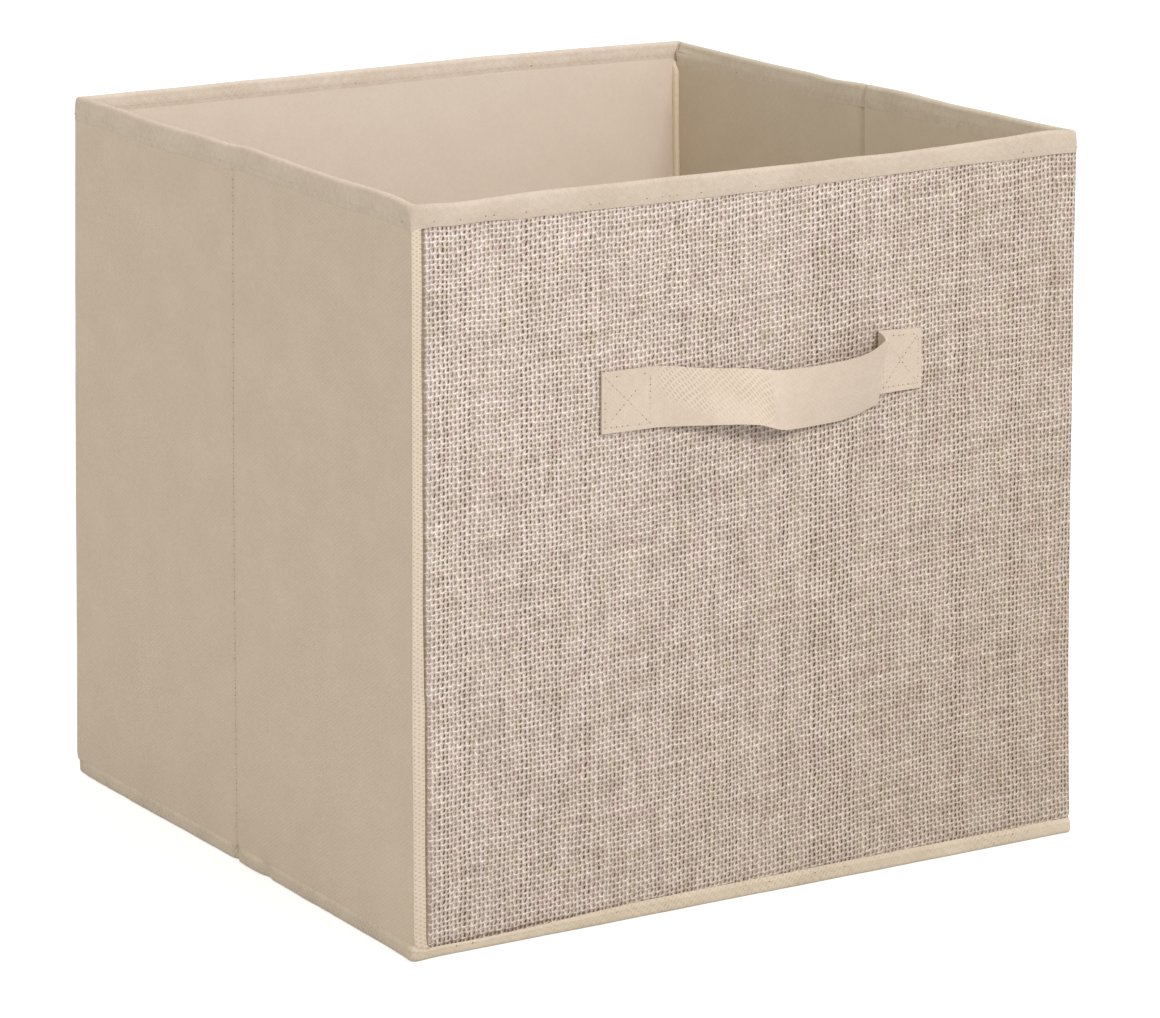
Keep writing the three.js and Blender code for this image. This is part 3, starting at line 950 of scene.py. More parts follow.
BOARD_BODIES = {
    "front_board": "front_wall",
    "back_board": "back_wall",
    "left_front_board": "left_front_half",
    "left_rear_board": "left_rear_half",
    "right_front_board": "right_front_half",
    "right_rear_board": "right_rear_half",
}
boards = [make_board(node, body) for node, body in BOARD_BODIES.items()]
print(len(boards), "boards")

# %% [markdown]
# ## Where cloth has to bend
# When the bin folds, the cloth bends at upright lines. At a front corner it bends between the front wall and
# a side's front half; at a fold it bends between a side's two halves; at the rear left corner it bends
# between the rear half and the back wall. The rear right corner is left open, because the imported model's
# chain of walls starts and ends there. These five lines, and a short run each side of them, are given once
# here.

# %% Bending lines
BEND_REACH = 4 * MM
DIAGONAL = BEND_REACH / math.sqrt(2)
BENDS = {
    "front_left": (
        ("front_wall", "left_front_half"),
        (-INNER_X + DIAGONAL, INNER_FRONT - DIAGONAL, 0),
        (-INNER_X - DIAGONAL, INNER_FRONT + DIAGONAL, 0),
    ),
    "left_fold": (
        ("left_front_half", "left_rear_half"),
        (LEFT, FOLD_Y - BEND_REACH, 0),
        (LEFT, FOLD_Y + BEND_REACH, 0),
    ),
    "back_left": (
        ("left_rear_half", "back_wall"),
        (-INNER_X - DIAGONAL, INNER_BACK - DIAGONAL, 0),
        (-INNER_X + DIAGONAL, INNER_BACK + DIAGONAL, 0),
    ),
    "front_right": (
        ("front_wall", "right_front_half"),
        (INNER_X - DIAGONAL, INNER_FRONT - DIAGONAL, 0),
        (INNER_X + DIAGONAL, INNER_FRONT + DIAGONAL, 0),
    ),
    "right_fold": (
        ("right_front_half", "right_rear_half"),
        (RIGHT, FOLD_Y - BEND_REACH, 0),
        (RIGHT, FOLD_Y + BEND_REACH, 0),
    ),
}


def hold(piece, holder):
    """Hangs a piece on the body of that name; at the bend of that name it only bakes the piece where it is."""
    if holder in BENDS:
        (first, second), start, end = BENDS[holder]
        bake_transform(piece)
        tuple(start)
        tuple(end)
    else:
        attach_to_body(piece, holder)


def attach(piece, holder, nodes, material):
    """Dresses a piece, holds it in its place, and hides the nodes it stands for."""
    piece.data.materials.append(material)
    hold(piece, holder)
    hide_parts(*nodes)


CORNER_LAP = 30 * MM  # how far a corner's cloth runs on along the walls
FOLD_LEFT, FOLD_RIGHT = along_left(FOLD_Y), along_right(FOLD_Y)
RIGHT_PINCH = FOLD_RIGHT - 1.0 * MM  # the lining's seam there was sewn a little forward of the fold
CORNER_LEFT = along_left(FRONT)
print("folds at", round(FOLD_LEFT, 4), "and", round(FOLD_RIGHT, 4), "along the outline")

# %% [markdown]
# ## The outer skins
# The nonwoven skin goes round the bin from the front left corner, over the left side and the back. At the
# front left it turns the corner and ends in a folded edge that lies on the woven cover: the pale strip beside
# the weave. The side walls have a stitched crease at the fold. Each stretch between two bends is a sheet of
# its own, cut from the same cloth.

# %% The strip, the creases and the seams that press the skin
STRIP_EDGE = 5.0 * MM  # how far the strip reaches on to the front
STRIP_GROWS, STRIP_STEPS = 0.55 * MM, 0.5 * MM  # how much further on its way down, slowly and at once
STRIP_PROUD, STRIP_TUCK = 0.35 * MM, 1.3 * MM  # how far it stands off the cover, and its edge turns under
STRIP_WANDER, STRIP_FLARE = 0.15 * MM, 1.6 * MM  # how far its edge wanders, and curves out at its foot
CREASE_DEPTH, CREASE_WIDTH = 0.7 * MM, 1.3 * MM
HEM_DIP = 2.1 * MM  # how much lower the hem's upper edge is where it was sewn closer
SEAM_PRESS = 0.65 * MM  # how far the rim's and the hem's seams press a sheet in
RIM_LONGER = 2.3 * MM  # how much further down the rim's inner leg reaches on the right side
skin_rows = stations(
    (CLOTH_FOOT, 0.55 * MM),
    (12 * MM, 4 * MM),
    (TOP - 40 * MM, 3 * MM),
    (TOP - 11 * MM, 0.6 * MM),
    (CLOTH_TOP, 0),
)


def front_run(u):
    """How far along the front a place on the outline is: below 0 on the left side."""
    return np.mod(u + LAP / 2, LAP) - LAP / 2


def hem_top(u):
    """The hem's upper edge: lower along the left part of the front, where it was sewn closer."""
    run = front_run(u)
    dip = smooth((run + 2 * MM) / (9 * MM)) * (1 - smooth((run - 25 * MM) / (75 * MM)))
    return HEM_HEIGHT - HEM_DIP * dip


# How far the rim's outer edge rises, in millimetres: place along the front, height
RIM_FOOT_RISE = [(-15, 0), (0, 0.6), (15, 1.6), (28, 1.8), (45, 0.8), (100, 0.6), (142, 1.05), (200, 1.7),
                 (226, 1.5), (247, 0.8), (264, 0.25), (279, 0.5), (295, 0)]


def rim_foot(u):
    """The rim's outer edge, which was sewn a little unevenly."""
    return TOP - RIM_OUTSIDE + curve_through(RIM_FOOT_RISE, front_run(u) / MM) * MM


def rim_inside(u):
    """How far the rim's inner leg reaches down: longer on the right side."""
    run = np.mod(u, LAP)
    on_right = smooth((run - WIDTH - MM) / (4 * MM)) * smooth((WIDTH + DEPTH - MM - run) / (4 * MM))
    return RIM_INSIDE + RIM_LONGER * on_right


def strip_edge(v):
    """How far the corner strip reaches on to the front: a little further low down."""
    slow, sudden = smooth((200 * MM - v) / (100 * MM)), smooth((98 * MM - v) / (8 * MM))
    return STRIP_EDGE + STRIP_GROWS * slow + STRIP_STEPS * sudden


def pressed_in(u, v):
    """The rim's and the hem's seams press the sheets in, so that their bindings lie flush with them."""
    at_rim = smooth((v - rim_foot(u) - 0.2 * MM) / (0.7 * MM))
    at_hem = smooth((hem_top(u) - 0.4 * MM - v) / (0.7 * MM))
    return SEAM_PRESS * (at_rim + at_hem)


def groove(u, middle, before, after=None):
    """1 at the middle of a groove and 0 away from it, with its own reach on each side."""
    reach = np.where(u < middle, before, before if after is None else after)
    return np.exp(-(((u - middle) / reach) ** 2))


def crease(u, fold):
    return CREASE_DEPTH * groove(u, fold, CREASE_WIDTH)


print("the folds' creases are", round(CREASE_DEPTH / MM, 1), "mm deep")

# %% Cut and hang the skins
def skin_inset(u, v):
    """The skin's outer face: pressed in at the folds, and raised where it laps on to the woven cover."""
    inset = SKIN_INSET + crease(u, FOLD_LEFT) + crease(u, FOLD_RIGHT) + pressed_in(u, v)
    onto_front = smooth((u - (LAP - 0.4 * MM)) / (1.3 * MM))
    tucked = smooth((u - (LAP + STRIP_EDGE - 0.5 * MM)) / (0.5 * MM))
    return inset - STRIP_PROUD * onto_front + STRIP_TUCK * tucked


def strip_slide(u, v):
    """The strip's edge wanders a little, and curves out into the hem at its foot."""
    onto_front = smooth((u - LAP) / STRIP_EDGE)
    wander = STRIP_WANDER * np.sin(v / (9 * MM)) * np.sin(v / (31 * MM) + 1)
    foot = STRIP_FLARE * np.exp(-np.clip(v - HEM_HEIGHT + 2 * MM, 0, 1) / (1.3 * MM))
    return onto_front * (wander + strip_edge(v) - STRIP_EDGE + foot)


def hang_skin(name, marks, holder, nodes):
    columns = stations(*marks)
    piece = hang_cloth(name, columns, skin_rows, wall_place(skin_inset, strip_slide), NONWOVEN)
    attach(piece, holder, nodes, wall_fabric)


# Steps between a sheet's columns, and the places along the outline where one piece ends and the next starts
FINE, COARSE, TINY = 1.0 * MM, 4 * MM, 0.5 * MM
left_lap, back_lap = CORNER_LEFT - CORNER_LAP, CORNERS[3] - CORNER_LAP
left_start, right_lap = CORNERS[3] + CORNER_LAP, CORNERS[1] + CORNER_LAP
back_start, back_corner = along_right(INNER_BACK) + 0.2 * MM, CORNERS[3]
right_start, right_end = along_right(INNER_FRONT), along_right(INNER_BACK) - 0.3 * MM
strip_end = LAP + STRIP_EDGE

SKINS = [
    ("left_front_skin_cloth", "front_left", ["left_front_skin", "front_left_corner_strip"],
     [(left_lap, COARSE), (CORNER_LEFT - 4 * MM, TINY), (strip_end - MM, 0.17 * MM), (strip_end, 0)]),
    ("left_fold_skin_cloth", "left_fold", ["left_front_skin", "left_rear_skin"],
     [(left_start, COARSE), (FOLD_LEFT - 6 * MM, TINY), (FOLD_LEFT + 6 * MM, COARSE), (left_lap, 0)]),
    ("left_rear_skin_cloth", "back_left", ["left_rear_skin"],
     [(back_lap, COARSE), (back_corner - 5 * MM, FINE), (back_corner + 5 * MM, COARSE), (left_start, 0)]),
    ("back_skin_cloth", "back_wall", ["back_skin"],
     [(back_start, FINE), (CORNERS[2] + 5 * MM, COARSE), (back_lap, 0)]),
    ("right_front_skin_cloth", "front_right", ["right_front_skin"],
     [(right_start, FINE), (right_start + 6 * MM, COARSE), (right_lap, 0)]),
    ("right_fold_skin_cloth", "right_fold", ["right_front_skin", "right_rear_skin"],
     [(right_lap, COARSE), (FOLD_RIGHT - 6 * MM, TINY), (FOLD_RIGHT + 6 * MM, COARSE), (right_end, 0)]),
]
for name, holder, nodes, marks in SKINS:
    hang_skin(name, marks, holder, nodes)

# %% [markdown]
# ## The woven front cover
# The cover is cut from the coarse weave, a little larger than the front. Its left edge goes under the corner
# strip, where the seam presses it thin, and its right edge turns round the corner.

# %% Woven cover
COVER_START = 3.4 * MM
COVER_END = along_right(INNER_FRONT) - 0.6 * MM
PRESSED_SIDE, PRESSED_FOOT = 0.75 * MM, 0.35 * MM  # how far the strip's and the hem's seams press it in
cover_columns = stations(
    (COVER_START, 0.35 * MM), (9 * MM, 2.2 * MM), (WIDTH - 8 * MM, 0.6 * MM), (COVER_END, 0)
)
cover_rows = stations((CLOTH_FOOT, 0.4 * MM), (10 * MM, 2.2 * MM), (TOP - 11 * MM, 0.6 * MM), (CLOTH_TOP, 0))


def cover_inset(u, v):
    pressed_side = PRESSED_SIDE * (1 - smooth((u - strip_edge(v) - 0.3 * MM) / (1.6 * MM)))
    pressed_foot = PRESSED_FOOT * (1 - smooth((v - hem_top(u) - 0.3 * MM) / (1.6 * MM)))
    return SKIN_INSET + pressed_side + pressed_foot + pressed_in(u, v)


cover = hang_cloth("front_cover_cloth", cover_columns, cover_rows, wall_place(cover_inset), WOVEN)
attach(cover, "front_wall", ["front_cover"], woven_cloth)

# %% [markdown]
# ## The linings
# The inside of each wall is lined with nonwoven. On the sides it is the same cloth painted darker: painted
# shade for the inside of the side walls. A lining faces the cavity, so its sheet is turned round after it is
# hung. A side's two linings are one cloth across the fold, with a pinched seam there.

# %% Linings
LINING_FOOT, LINING_TOP = 5.2 * MM, TOP - 3.4 * MM
LINING_EDGE = max(FRONT_LINING_INSET, PLAIN_LINING_INSET) + 0.1 * MM
lining_rows = stations(
    (LINING_FOOT, 6 * MM), (TOP - 60 * MM, 3 * MM), (TOP - RIM_INSIDE - 5 * MM, 0.5 * MM), (LINING_TOP, 0)
)
PINCH, RIM_PRESS = 1.7 * MM, 0.6 * MM  # how far the fold's seam stands out, and the rim is pressed on
CORNER_BULK = 1.5 * MM  # how far the rear right corner's seam holds the right lining off its board


def corner_fill(u):
    """How far the right lining and its rim are held off the board, from none to all near the corner."""
    run = np.mod(u, LAP)
    return CORNER_BULK * smooth((run - CORNERS[2] + 40 * MM) / (36 * MM)) * (run < CORNERS[2])


def hang_lining(name, marks, inset, holder, nodes, fabric, pinch=None):
    columns = stations(*marks)

    def lining_inset(u, v):
        seam = 0 if pinch is None else PINCH * groove(u, pinch, 0.7 * MM, 2.0 * MM)
        pressed = RIM_PRESS * smooth((v - (TOP - rim_inside(u) + 0.1 * MM)) / (0.7 * MM))
        return np.full_like(u, inset) + corner_fill(u) - seam - pressed

    piece = hang_cloth(name, columns, lining_rows, wall_place(lining_inset), NONWOVEN, inwards=True)
    attach(piece, holder, nodes, fabric)


def side_marks(start, fold, end):
    """A side lining's columns, close together at its fold."""
    return [(start, COARSE), (fold - 5 * MM, TINY), (fold + 5 * MM, COARSE), (end, 0)]


hang_lining(
    "front_lining_cloth", [(LINING_EDGE, COARSE), (WIDTH - LINING_EDGE, 0)],
    FRONT_LINING_INSET, "front_wall", ["front_lining"], lining_fabric,
)
hang_lining(
    "back_lining_cloth", [(CORNERS[2] + LINING_EDGE, COARSE), (back_corner - LINING_EDGE, 0)],
    PLAIN_LINING_INSET, "back_wall", ["back_lining"], lining_fabric,
)
hang_lining(
    "left_lining_cloth", side_marks(along_left(INNER_BACK) - MM, FOLD_LEFT, along_left(INNER_FRONT) + MM),
    PLAIN_LINING_INSET, "left_fold", ["left_front_lining", "left_rear_lining"], side_lining_painted_shade,
    pinch=FOLD_LEFT,
)
hang_lining(
    "right_lining_cloth", side_marks(along_right(INNER_FRONT) - MM, FOLD_RIGHT, along_right(INNER_BACK) + MM),
    PLAIN_LINING_INSET, "right_fold", ["right_front_lining", "right_rear_lining"], side_lining_painted_shade,
    pinch=RIGHT_PINCH,
)

# %% [markdown]
# ## The rim binding
# A strip of nonwoven is folded over the top of the walls and sewn through. It reaches further down outside
# than inside, except on the right wall, and its edges wander a little, as the seam does. Its flat width is
# laid over a profile: up the outside, over a round top, and down the inside, where it lies on the lining.

# %% The binding's profile
RIM_TOP_RADIUS = 1.7 * MM
RIM_LEG_OUT = RIM_OUTSIDE - RIM_TOP_RADIUS
RIM_LEG_IN = RIM_INSIDE - RIM_TOP_RADIUS
RIM_ARC = math.pi * RIM_TOP_RADIUS
RIM_CUT = RIM_LEG_OUT + RIM_ARC + RIM_LEG_IN
RIM_TAPER, RIM_PUFF = 0.1 * MM, 0.22 * MM  # how much deeper the outer leg lies at its top, and its fullness
PROUD_FRONT, PROUD_ELSEWHERE = 0.3 * MM, 0.06 * MM  # how far it stands off the skin
rim_rows = stations(
    (0, 0.3 * MM),
    (1.2 * MM, 1.1 * MM),
    (RIM_LEG_OUT, 0.37 * MM),
    (RIM_LEG_OUT + RIM_ARC, 0.8 * MM),
    (RIM_CUT - 1.2 * MM, 0.3 * MM),
    (RIM_CUT, 0),
)


def rim_profile(v, outer, inner, leg_in):
    """Inset and height at a distance v up the binding's cut, for legs at the insets outer and inner."""
    turn = np.clip((v - RIM_LEG_OUT) / RIM_ARC, 0, 1) * math.pi
    up = np.clip(v / RIM_LEG_OUT, 0, 1)
    down = np.clip((v - RIM_LEG_OUT - RIM_ARC) / RIM_LEG_IN, 0, 1)
    puffed = RIM_PUFF * np.sin(math.pi * up) ** 0.7
    inset = outer + RIM_TAPER + RIM_TOP_RADIUS * (1 - np.cos(turn)) - puffed - RIM_TAPER * (1 - up)
    top_inner = outer + RIM_TAPER + 2 * RIM_TOP_RADIUS
    inset = inset + (inner - top_inner) * smooth(2.0 * down)
    height = TOP - RIM_TOP_RADIUS + RIM_TOP_RADIUS * np.sin(turn)
    height = height - RIM_LEG_OUT * (1 - up) - leg_in * down
    return inset, height


def rim_place(u, v):
    side = np.searchsorted(CORNERS, np.mod(u, LAP), side="right") - 1
    proud = np.where(side == 0, PROUD_FRONT, PROUD_ELSEWHERE)
    lining = np.where(side == 0, FRONT_LINING_INSET, PLAIN_LINING_INSET)
    leg_in = rim_inside(u) - RIM_TOP_RADIUS
    inset, height = rim_profile(v, SKIN_INSET - proud, lining + corner_fill(u) + 0.04 * MM, leg_in)
    height = height + (rim_foot(u) - TOP + RIM_OUTSIDE) * np.clip(1 - v / RIM_LEG_OUT, 0, 1)
    notch = groove(u, FOLD_LEFT, 1.2 * MM) + groove(u, RIGHT_PINCH, 1.2 * MM)
    outer = np.clip(1 - v / (RIM_LEG_OUT + RIM_ARC), 0, 1)
    inner = smooth((v - RIM_LEG_OUT - RIM_ARC / 2) / (2 * MM))
    inset = inset + notch * MM * (0.5 * outer - 1.0 * inner)
    height = height - notch * 0.3 * MM * smooth(v / RIM_LEG_OUT)
    flat, _ = outline(u, inset, height)
    rest = np.column_stack([flat, height])
    _, out = outline(u, np.zeros_like(u), height)
    free = smooth(v / (3 * MM)) * smooth((RIM_CUT - v) / (3 * MM))
    wave = slack(rest) + ripple(rest, 9 * MM, 1.9) * 0.12 * MM * free
    rest[:, :2] += out * wave[:, None]
    rest[:, 2] += ripple(rest, 24 * MM, 9.4) * 0.3 * MM * smooth(v / RIM_LEG_OUT)
    return settle(rest)


print("the rim binding is cut", round(RIM_CUT / MM, 1), "mm wide")

# %% Cut and hang the rim
def hang_rim(name, marks, holder, nodes):
    columns = stations(*marks)
    piece = hang_cloth(name, columns, rim_rows, rim_place, NONWOVEN)
    attach(piece, holder, nodes, rim_fabric)


RIM_STEP = 2.2 * MM
LEFT_JOIN, RIGHT_JOIN = LAP + 16 * MM, WIDTH - 12 * MM  # where the front's binding meets its corner pieces
RIMS = [
    ("left_front_rim_binding", "front_left", ["left_front_rim"],
     [(left_lap, RIM_STEP), (CORNER_LEFT - 14 * MM, FINE), (LEFT_JOIN, 0)]),
    ("front_rim_binding", "front_wall", ["front_rim"],
     [(LEFT_JOIN, RIM_STEP), (LAP + RIGHT_JOIN, 0)]),
    ("right_front_rim_binding", "front_right", ["right_front_rim"],
     [(RIGHT_JOIN, FINE), (WIDTH + 12 * MM, RIM_STEP), (right_lap, 0)]),
    ("right_fold_rim_binding", "right_fold", ["right_front_rim", "right_rear_rim"],
     [(right_lap, RIM_STEP), (FOLD_RIGHT - 6 * MM, TINY), (FOLD_RIGHT + 6 * MM, RIM_STEP), (right_end, 0)]),
    ("back_rim_binding", "back_wall", ["back_rim"],
     [(back_start, FINE), (CORNERS[2] + 12 * MM, RIM_STEP), (back_lap, 0)]),
    ("left_rear_rim_binding", "back_left", ["left_rear_rim"],
     [(back_lap, RIM_STEP), (back_corner - 14 * MM, FINE), (back_corner + 14 * MM, RIM_STEP),
      (left_start, 0)]),
    ("left_fold_rim_binding", "left_fold", ["left_front_rim", "left_rear_rim"],
     [(left_start, RIM_STEP), (FOLD_LEFT - 6 * MM, TINY), (FOLD_LEFT + 6 * MM, RIM_STEP), (left_lap, 0)]),
]
for name, holder, nodes, marks in RIMS:
    hang_rim(name, marks, holder, nodes)

# %% [markdown]
# ## The hems
# At the floor the skin, the lining and the bottom fabric are folded under together and sewn: a soft bound
# edge that the bin stands on. The profile goes down the inside, round under, and up the outside. When the bin
# folds, the bottom fabric gathers under the walls, and the two halves of a side come face to face.

# %% The hem's profile
HEM_OUT = SKIN_INSET + 0.08 * MM  # the outer edge starts just inside the skin's face
HEM_IN = PLAIN_LINING_INSET - 0.2 * MM
HEM_RADIUS = (HEM_IN - HEM_OUT) / 2
HEM_LEG = HEM_HEIGHT - HEM_RADIUS
HEM_CUT = 2 * HEM_LEG + math.pi * HEM_RADIUS
HEM_FULL = 0.5 * MM  # how far its outer face swells out
HEM_FOOT = 6 * MM  # how far from the front left corner the hem is fullest
hem_rows = stations((0, MM), (HEM_LEG, 0.45 * MM), (HEM_CUT - HEM_LEG, 0.6 * MM), (HEM_CUT, 0))


def hem_place(u, v):
    turn = np.clip((v - HEM_LEG) / (math.pi * HEM_RADIUS), 0, 1) * math.pi
    down = np.clip(v / HEM_LEG, 0, 1)
    up = np.clip((v - (HEM_CUT - HEM_LEG)) / HEM_LEG, 0, 1)
    outside = smooth(turn / math.pi * 1.2 - 0.2)
    away_from_edge = smooth((1 - up) * HEM_LEG / (1.6 * MM))
    full = HEM_FULL * outside * away_from_edge
    inset = (HEM_IN + HEM_OUT) / 2 + HEM_RADIUS * np.cos(turn) - full
    squared = 1 - (1 - np.sin(turn)) ** 2
    height = HEM_RADIUS * (1 - squared) + HEM_LEG * (1 - down) + (hem_top(u) - HEM_RADIUS) * up
    flat, _ = outline(u, inset, height)
    rest = np.column_stack([flat, height])
    _, out = outline(u, np.zeros_like(u), height)
    loose = outside * away_from_edge
    pucker = ripple(rest, 15 * MM, 2.2) * 0.3 * MM + ripple(rest, 4 * MM, 6.6) * 0.16 * MM
    corner = groove(front_run(u), 0, HEM_FOOT) * 0.9 * MM
    fold = groove(u, FOLD_LEFT, 1.5 * MM) + 0.8 * groove(u, FOLD_LEFT + 24 * MM, 2.2 * MM)
    swell = groove(u, FOLD_LEFT + 13 * MM, 8 * MM) * 0.7 * MM
    tucked = groove(u, back_corner, 9 * MM) * 1.2 * MM
    wave = slack(rest) + loose * (pucker + corner + swell - fold * 1.5 * MM - tucked)
    rest[:, :2] += out * wave[:, None]
    rest[:, 2] = np.maximum(rest[:, 2] + ripple(rest, 14 * MM, 4.4) * 0.2 * MM * smooth(up), 0)
    return settle(rest)


print("the hem is cut", round(HEM_CUT / MM, 1), "mm wide")

# %% Cut and hang the hems
def hang_hem(name, marks, body, node, outward):
    """A hem's binding: outward is -1 at the left, 1 at the right, 0 at the back and None at the front."""
    columns = stations(*marks)
    piece = hang_cloth(name, columns, hem_rows, hem_place, NONWOVEN)
    attach(piece, body, [node], hem_fabric)
    if outward is not None:
        anchor, keep = (outward * INNER_X, 0, HEM_HEIGHT), SIDE_HEM_KEEP if outward else BACK_HEM_KEEP
        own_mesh(piece)
        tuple(anchor)


HEM_STEP = 2.5 * MM
BACK_HEM_KEEP, SIDE_HEM_KEEP = 0.8, 0.55  # the share of its thickness that a hem keeps in the folded bin
HEM_GAP = 0.3 * MM  # between two hems that part when the bin folds
front_end = LAP + along_right(INNER_FRONT) - 0.05 * MM
HEMS = [
    ("front", "front_wall", None,
     [(along_left(INNER_FRONT) + 0.05 * MM, TINY), (LAP + 8 * MM, HEM_STEP), (LAP + WIDTH - 8 * MM, TINY),
      (front_end, 0)]),
    ("left_front", "left_front_half", -1, [(FOLD_LEFT + HEM_GAP, HEM_STEP), (along_left(INNER_FRONT), 0)]),
    ("left_rear", "left_rear_half", -1, [(along_left(INNER_BACK), HEM_STEP), (FOLD_LEFT - HEM_GAP, 0)]),
    ("back", "back_wall", 0,
     [(along_right(INNER_BACK) + HEM_GAP, TINY), (CORNERS[2] + 8 * MM, HEM_STEP),
      (back_corner - 8 * MM, TINY), (along_left(INNER_BACK) - HEM_GAP, 0)]),
    ("right_front", "right_front_half", 1, [(along_right(INNER_FRONT), HEM_STEP), (FOLD_RIGHT - HEM_GAP, 0)]),
    ("right_rear", "right_rear_half", 1, [(FOLD_RIGHT + HEM_GAP, HEM_STEP), (along_right(INNER_BACK), 0)]),
]
for wall, body, outward, marks in HEMS:
    hang_hem(wall + "_hem_binding", marks, body, wall + "_hem", outward)

# %% [markdown]
# ## Corner seam allowances
# Inside each corner the linings are sewn together under a folded strip, which stands out of the corner as a
# narrow, slightly wavy edge. Three of them stand at the bending line of their corner. The one in the rear right
# corner is bulkier: it lies along the side wall, holds its lining off the board, and stays with the back wall.

# %% Corner seams
SEAM_STANDS, SEAM_ROUND = 2.6 * MM, 0.85 * MM  # how far the edge stands out, and half its thickness
SEAM_LEG = SEAM_STANDS - SEAM_ROUND
SEAM_CUT = 2 * SEAM_LEG + math.pi * SEAM_ROUND
SEAM_TOP = TOP - 7.6 * MM


def corner_seam(node, corner_x, corner_y, holder, lean=1.0):
    """An edge that stands out of a corner, half way between its walls, or with less lean along the side."""
    towards = Vector((-lean * math.copysign(1, corner_x), -math.copysign(1, corner_y), 0)).normalized()
    aside = Vector((-towards.y, towards.x, 0))

    def place(u, v):
        """u goes out along one face of the edge, round its tip, and back along the other."""
        turn = np.clip((u - SEAM_LEG) / (math.pi * SEAM_ROUND), 0, 1) * math.pi
        gone_back = np.clip(u - SEAM_CUT + SEAM_LEG, 0, SEAM_LEG)
        out = np.minimum(u, SEAM_LEG) - gone_back + SEAM_ROUND * np.sin(turn)
        side = SEAM_ROUND * np.cos(turn)
        level = np.column_stack([np.zeros_like(v), np.zeros_like(v), v])
        sway = ripple(level, 26 * MM, corner_x + corner_y) * 0.6 * MM * np.clip(out / SEAM_STANDS, 0, 1)
        sunk = 2.2 * MM * smooth((v - SEAM_TOP + 5 * MM) / (5 * MM))
        flat = np.outer(out - sunk, towards[:2]) + np.outer(side + sway, aside[:2])
        return settle(np.column_stack([np.array([corner_x, corner_y]) + flat, v]))

    columns = stations((0, 0.5 * MM), (SEAM_LEG, 0.3 * MM), (SEAM_CUT - SEAM_LEG, 0.5 * MM), (SEAM_CUT, 0))
    rows = stations((LINING_FOOT, 4 * MM), (SEAM_TOP - 6 * MM, 0.8 * MM), (SEAM_TOP, 0))
    piece = hang_cloth(node + "_edge", columns, rows, place, NONWOVEN)
    attach(piece, holder, [node], painted_light_edge_fabric)


seam_x = RIGHT - PLAIN_LINING_INSET
seam_front, seam_back = FRONT + FRONT_LINING_INSET, BACK - PLAIN_LINING_INSET
corner_seam("corner_seam_front_left", -seam_x, seam_front, "front_left")
corner_seam("corner_seam_front_right", seam_x, seam_front, "front_right")
corner_seam("corner_seam_back_left", -seam_x, seam_back, "back_left")
corner_seam("corner_seam_back_right", seam_x - CORNER_BULK, seam_back, "back_wall", lean=0.1)

# %% [markdown]
# ## The bottom
# A single sheet of nonwoven closes the bottom and is caught in the hems. It is slack, and it gathers towards
# the front when the bin folds.

# %% Bottom fabric
BOTTOM_THICK, BOTTOM_STEP = 0.2 * MM, 7 * MM
BOTTOM_TUCK = Vector((1.2 * MM, 1.2 * MM, 0))  # how far the sheet runs on into the hems, which are sewn to it
bottom_low, bottom_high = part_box("bottom_fabric")
bottom_low, bottom_high = bottom_low - BOTTOM_TUCK, bottom_high + BOTTOM_TUCK
bottom_columns = stations((bottom_low.x, BOTTOM_STEP), (bottom_high.x, 0))
bottom_rows = stations((bottom_low.y, BOTTOM_STEP), (bottom_high.y, 0))


def bottom_place(u, v):
    rest = np.column_stack([u, v, np.full_like(u, bottom_high.z)])
    edge = np.minimum.reduce([u - bottom_low.x, bottom_high.x - u, v - bottom_low.y, bottom_high.y - v])
    rest[:, 2] += 0.15 * MM * ripple(rest, 40 * MM, 7.7) * smooth(edge / (20 * MM))
    settled = settle(rest)
    settled[:, 2] = rest[:, 2]
    return settled


bottom = hang_cloth("bottom_sheet", bottom_columns, bottom_rows, bottom_place, BOTTOM_THICK)
attach(bottom, "front_wall", ["bottom_fabric"], lining_fabric)
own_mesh(bottom)

# %% [markdown]
# ## The base insert
# A loose stiff board in a nonwoven sleeve lies on the bottom and keeps the bin square. It is lifted out
# before the bin is folded. The sleeve is folded round the board's front edge and closed at its other three,
# all soft and rounded, and a row of stitching runs just inside its sides and back.

# %% The insert's board
insert_low, insert_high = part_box("insert_cover")
INSERT_CORNER = 12 * MM
INSERT_SEAM = 6 * MM  # from the sleeve's edge to its stitching
INSERT_EDGE = 3 * MM  # how far in from an edge the sleeve is cut finely
INSERT_ROUND = 1.6 * MM  # how far in its edges are round


def make_insert_board():
    board = add_block("insert_stiffener", *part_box("insert_board"))
    select_edges(board, lambda a, b: abs(a.z - b.z) > MM)
    bpy.ops.mesh.bevel(offset=INSERT_CORNER - 0.7 * MM, segments=8, affect="EDGES")
    bpy.ops.object.mode_set(mode="OBJECT")
    dress_board(board, "base_insert", "insert_board")


make_insert_board()
insert_depth = insert_high.y - insert_low.y
print("the insert is", round(insert_depth, 4), "m deep")

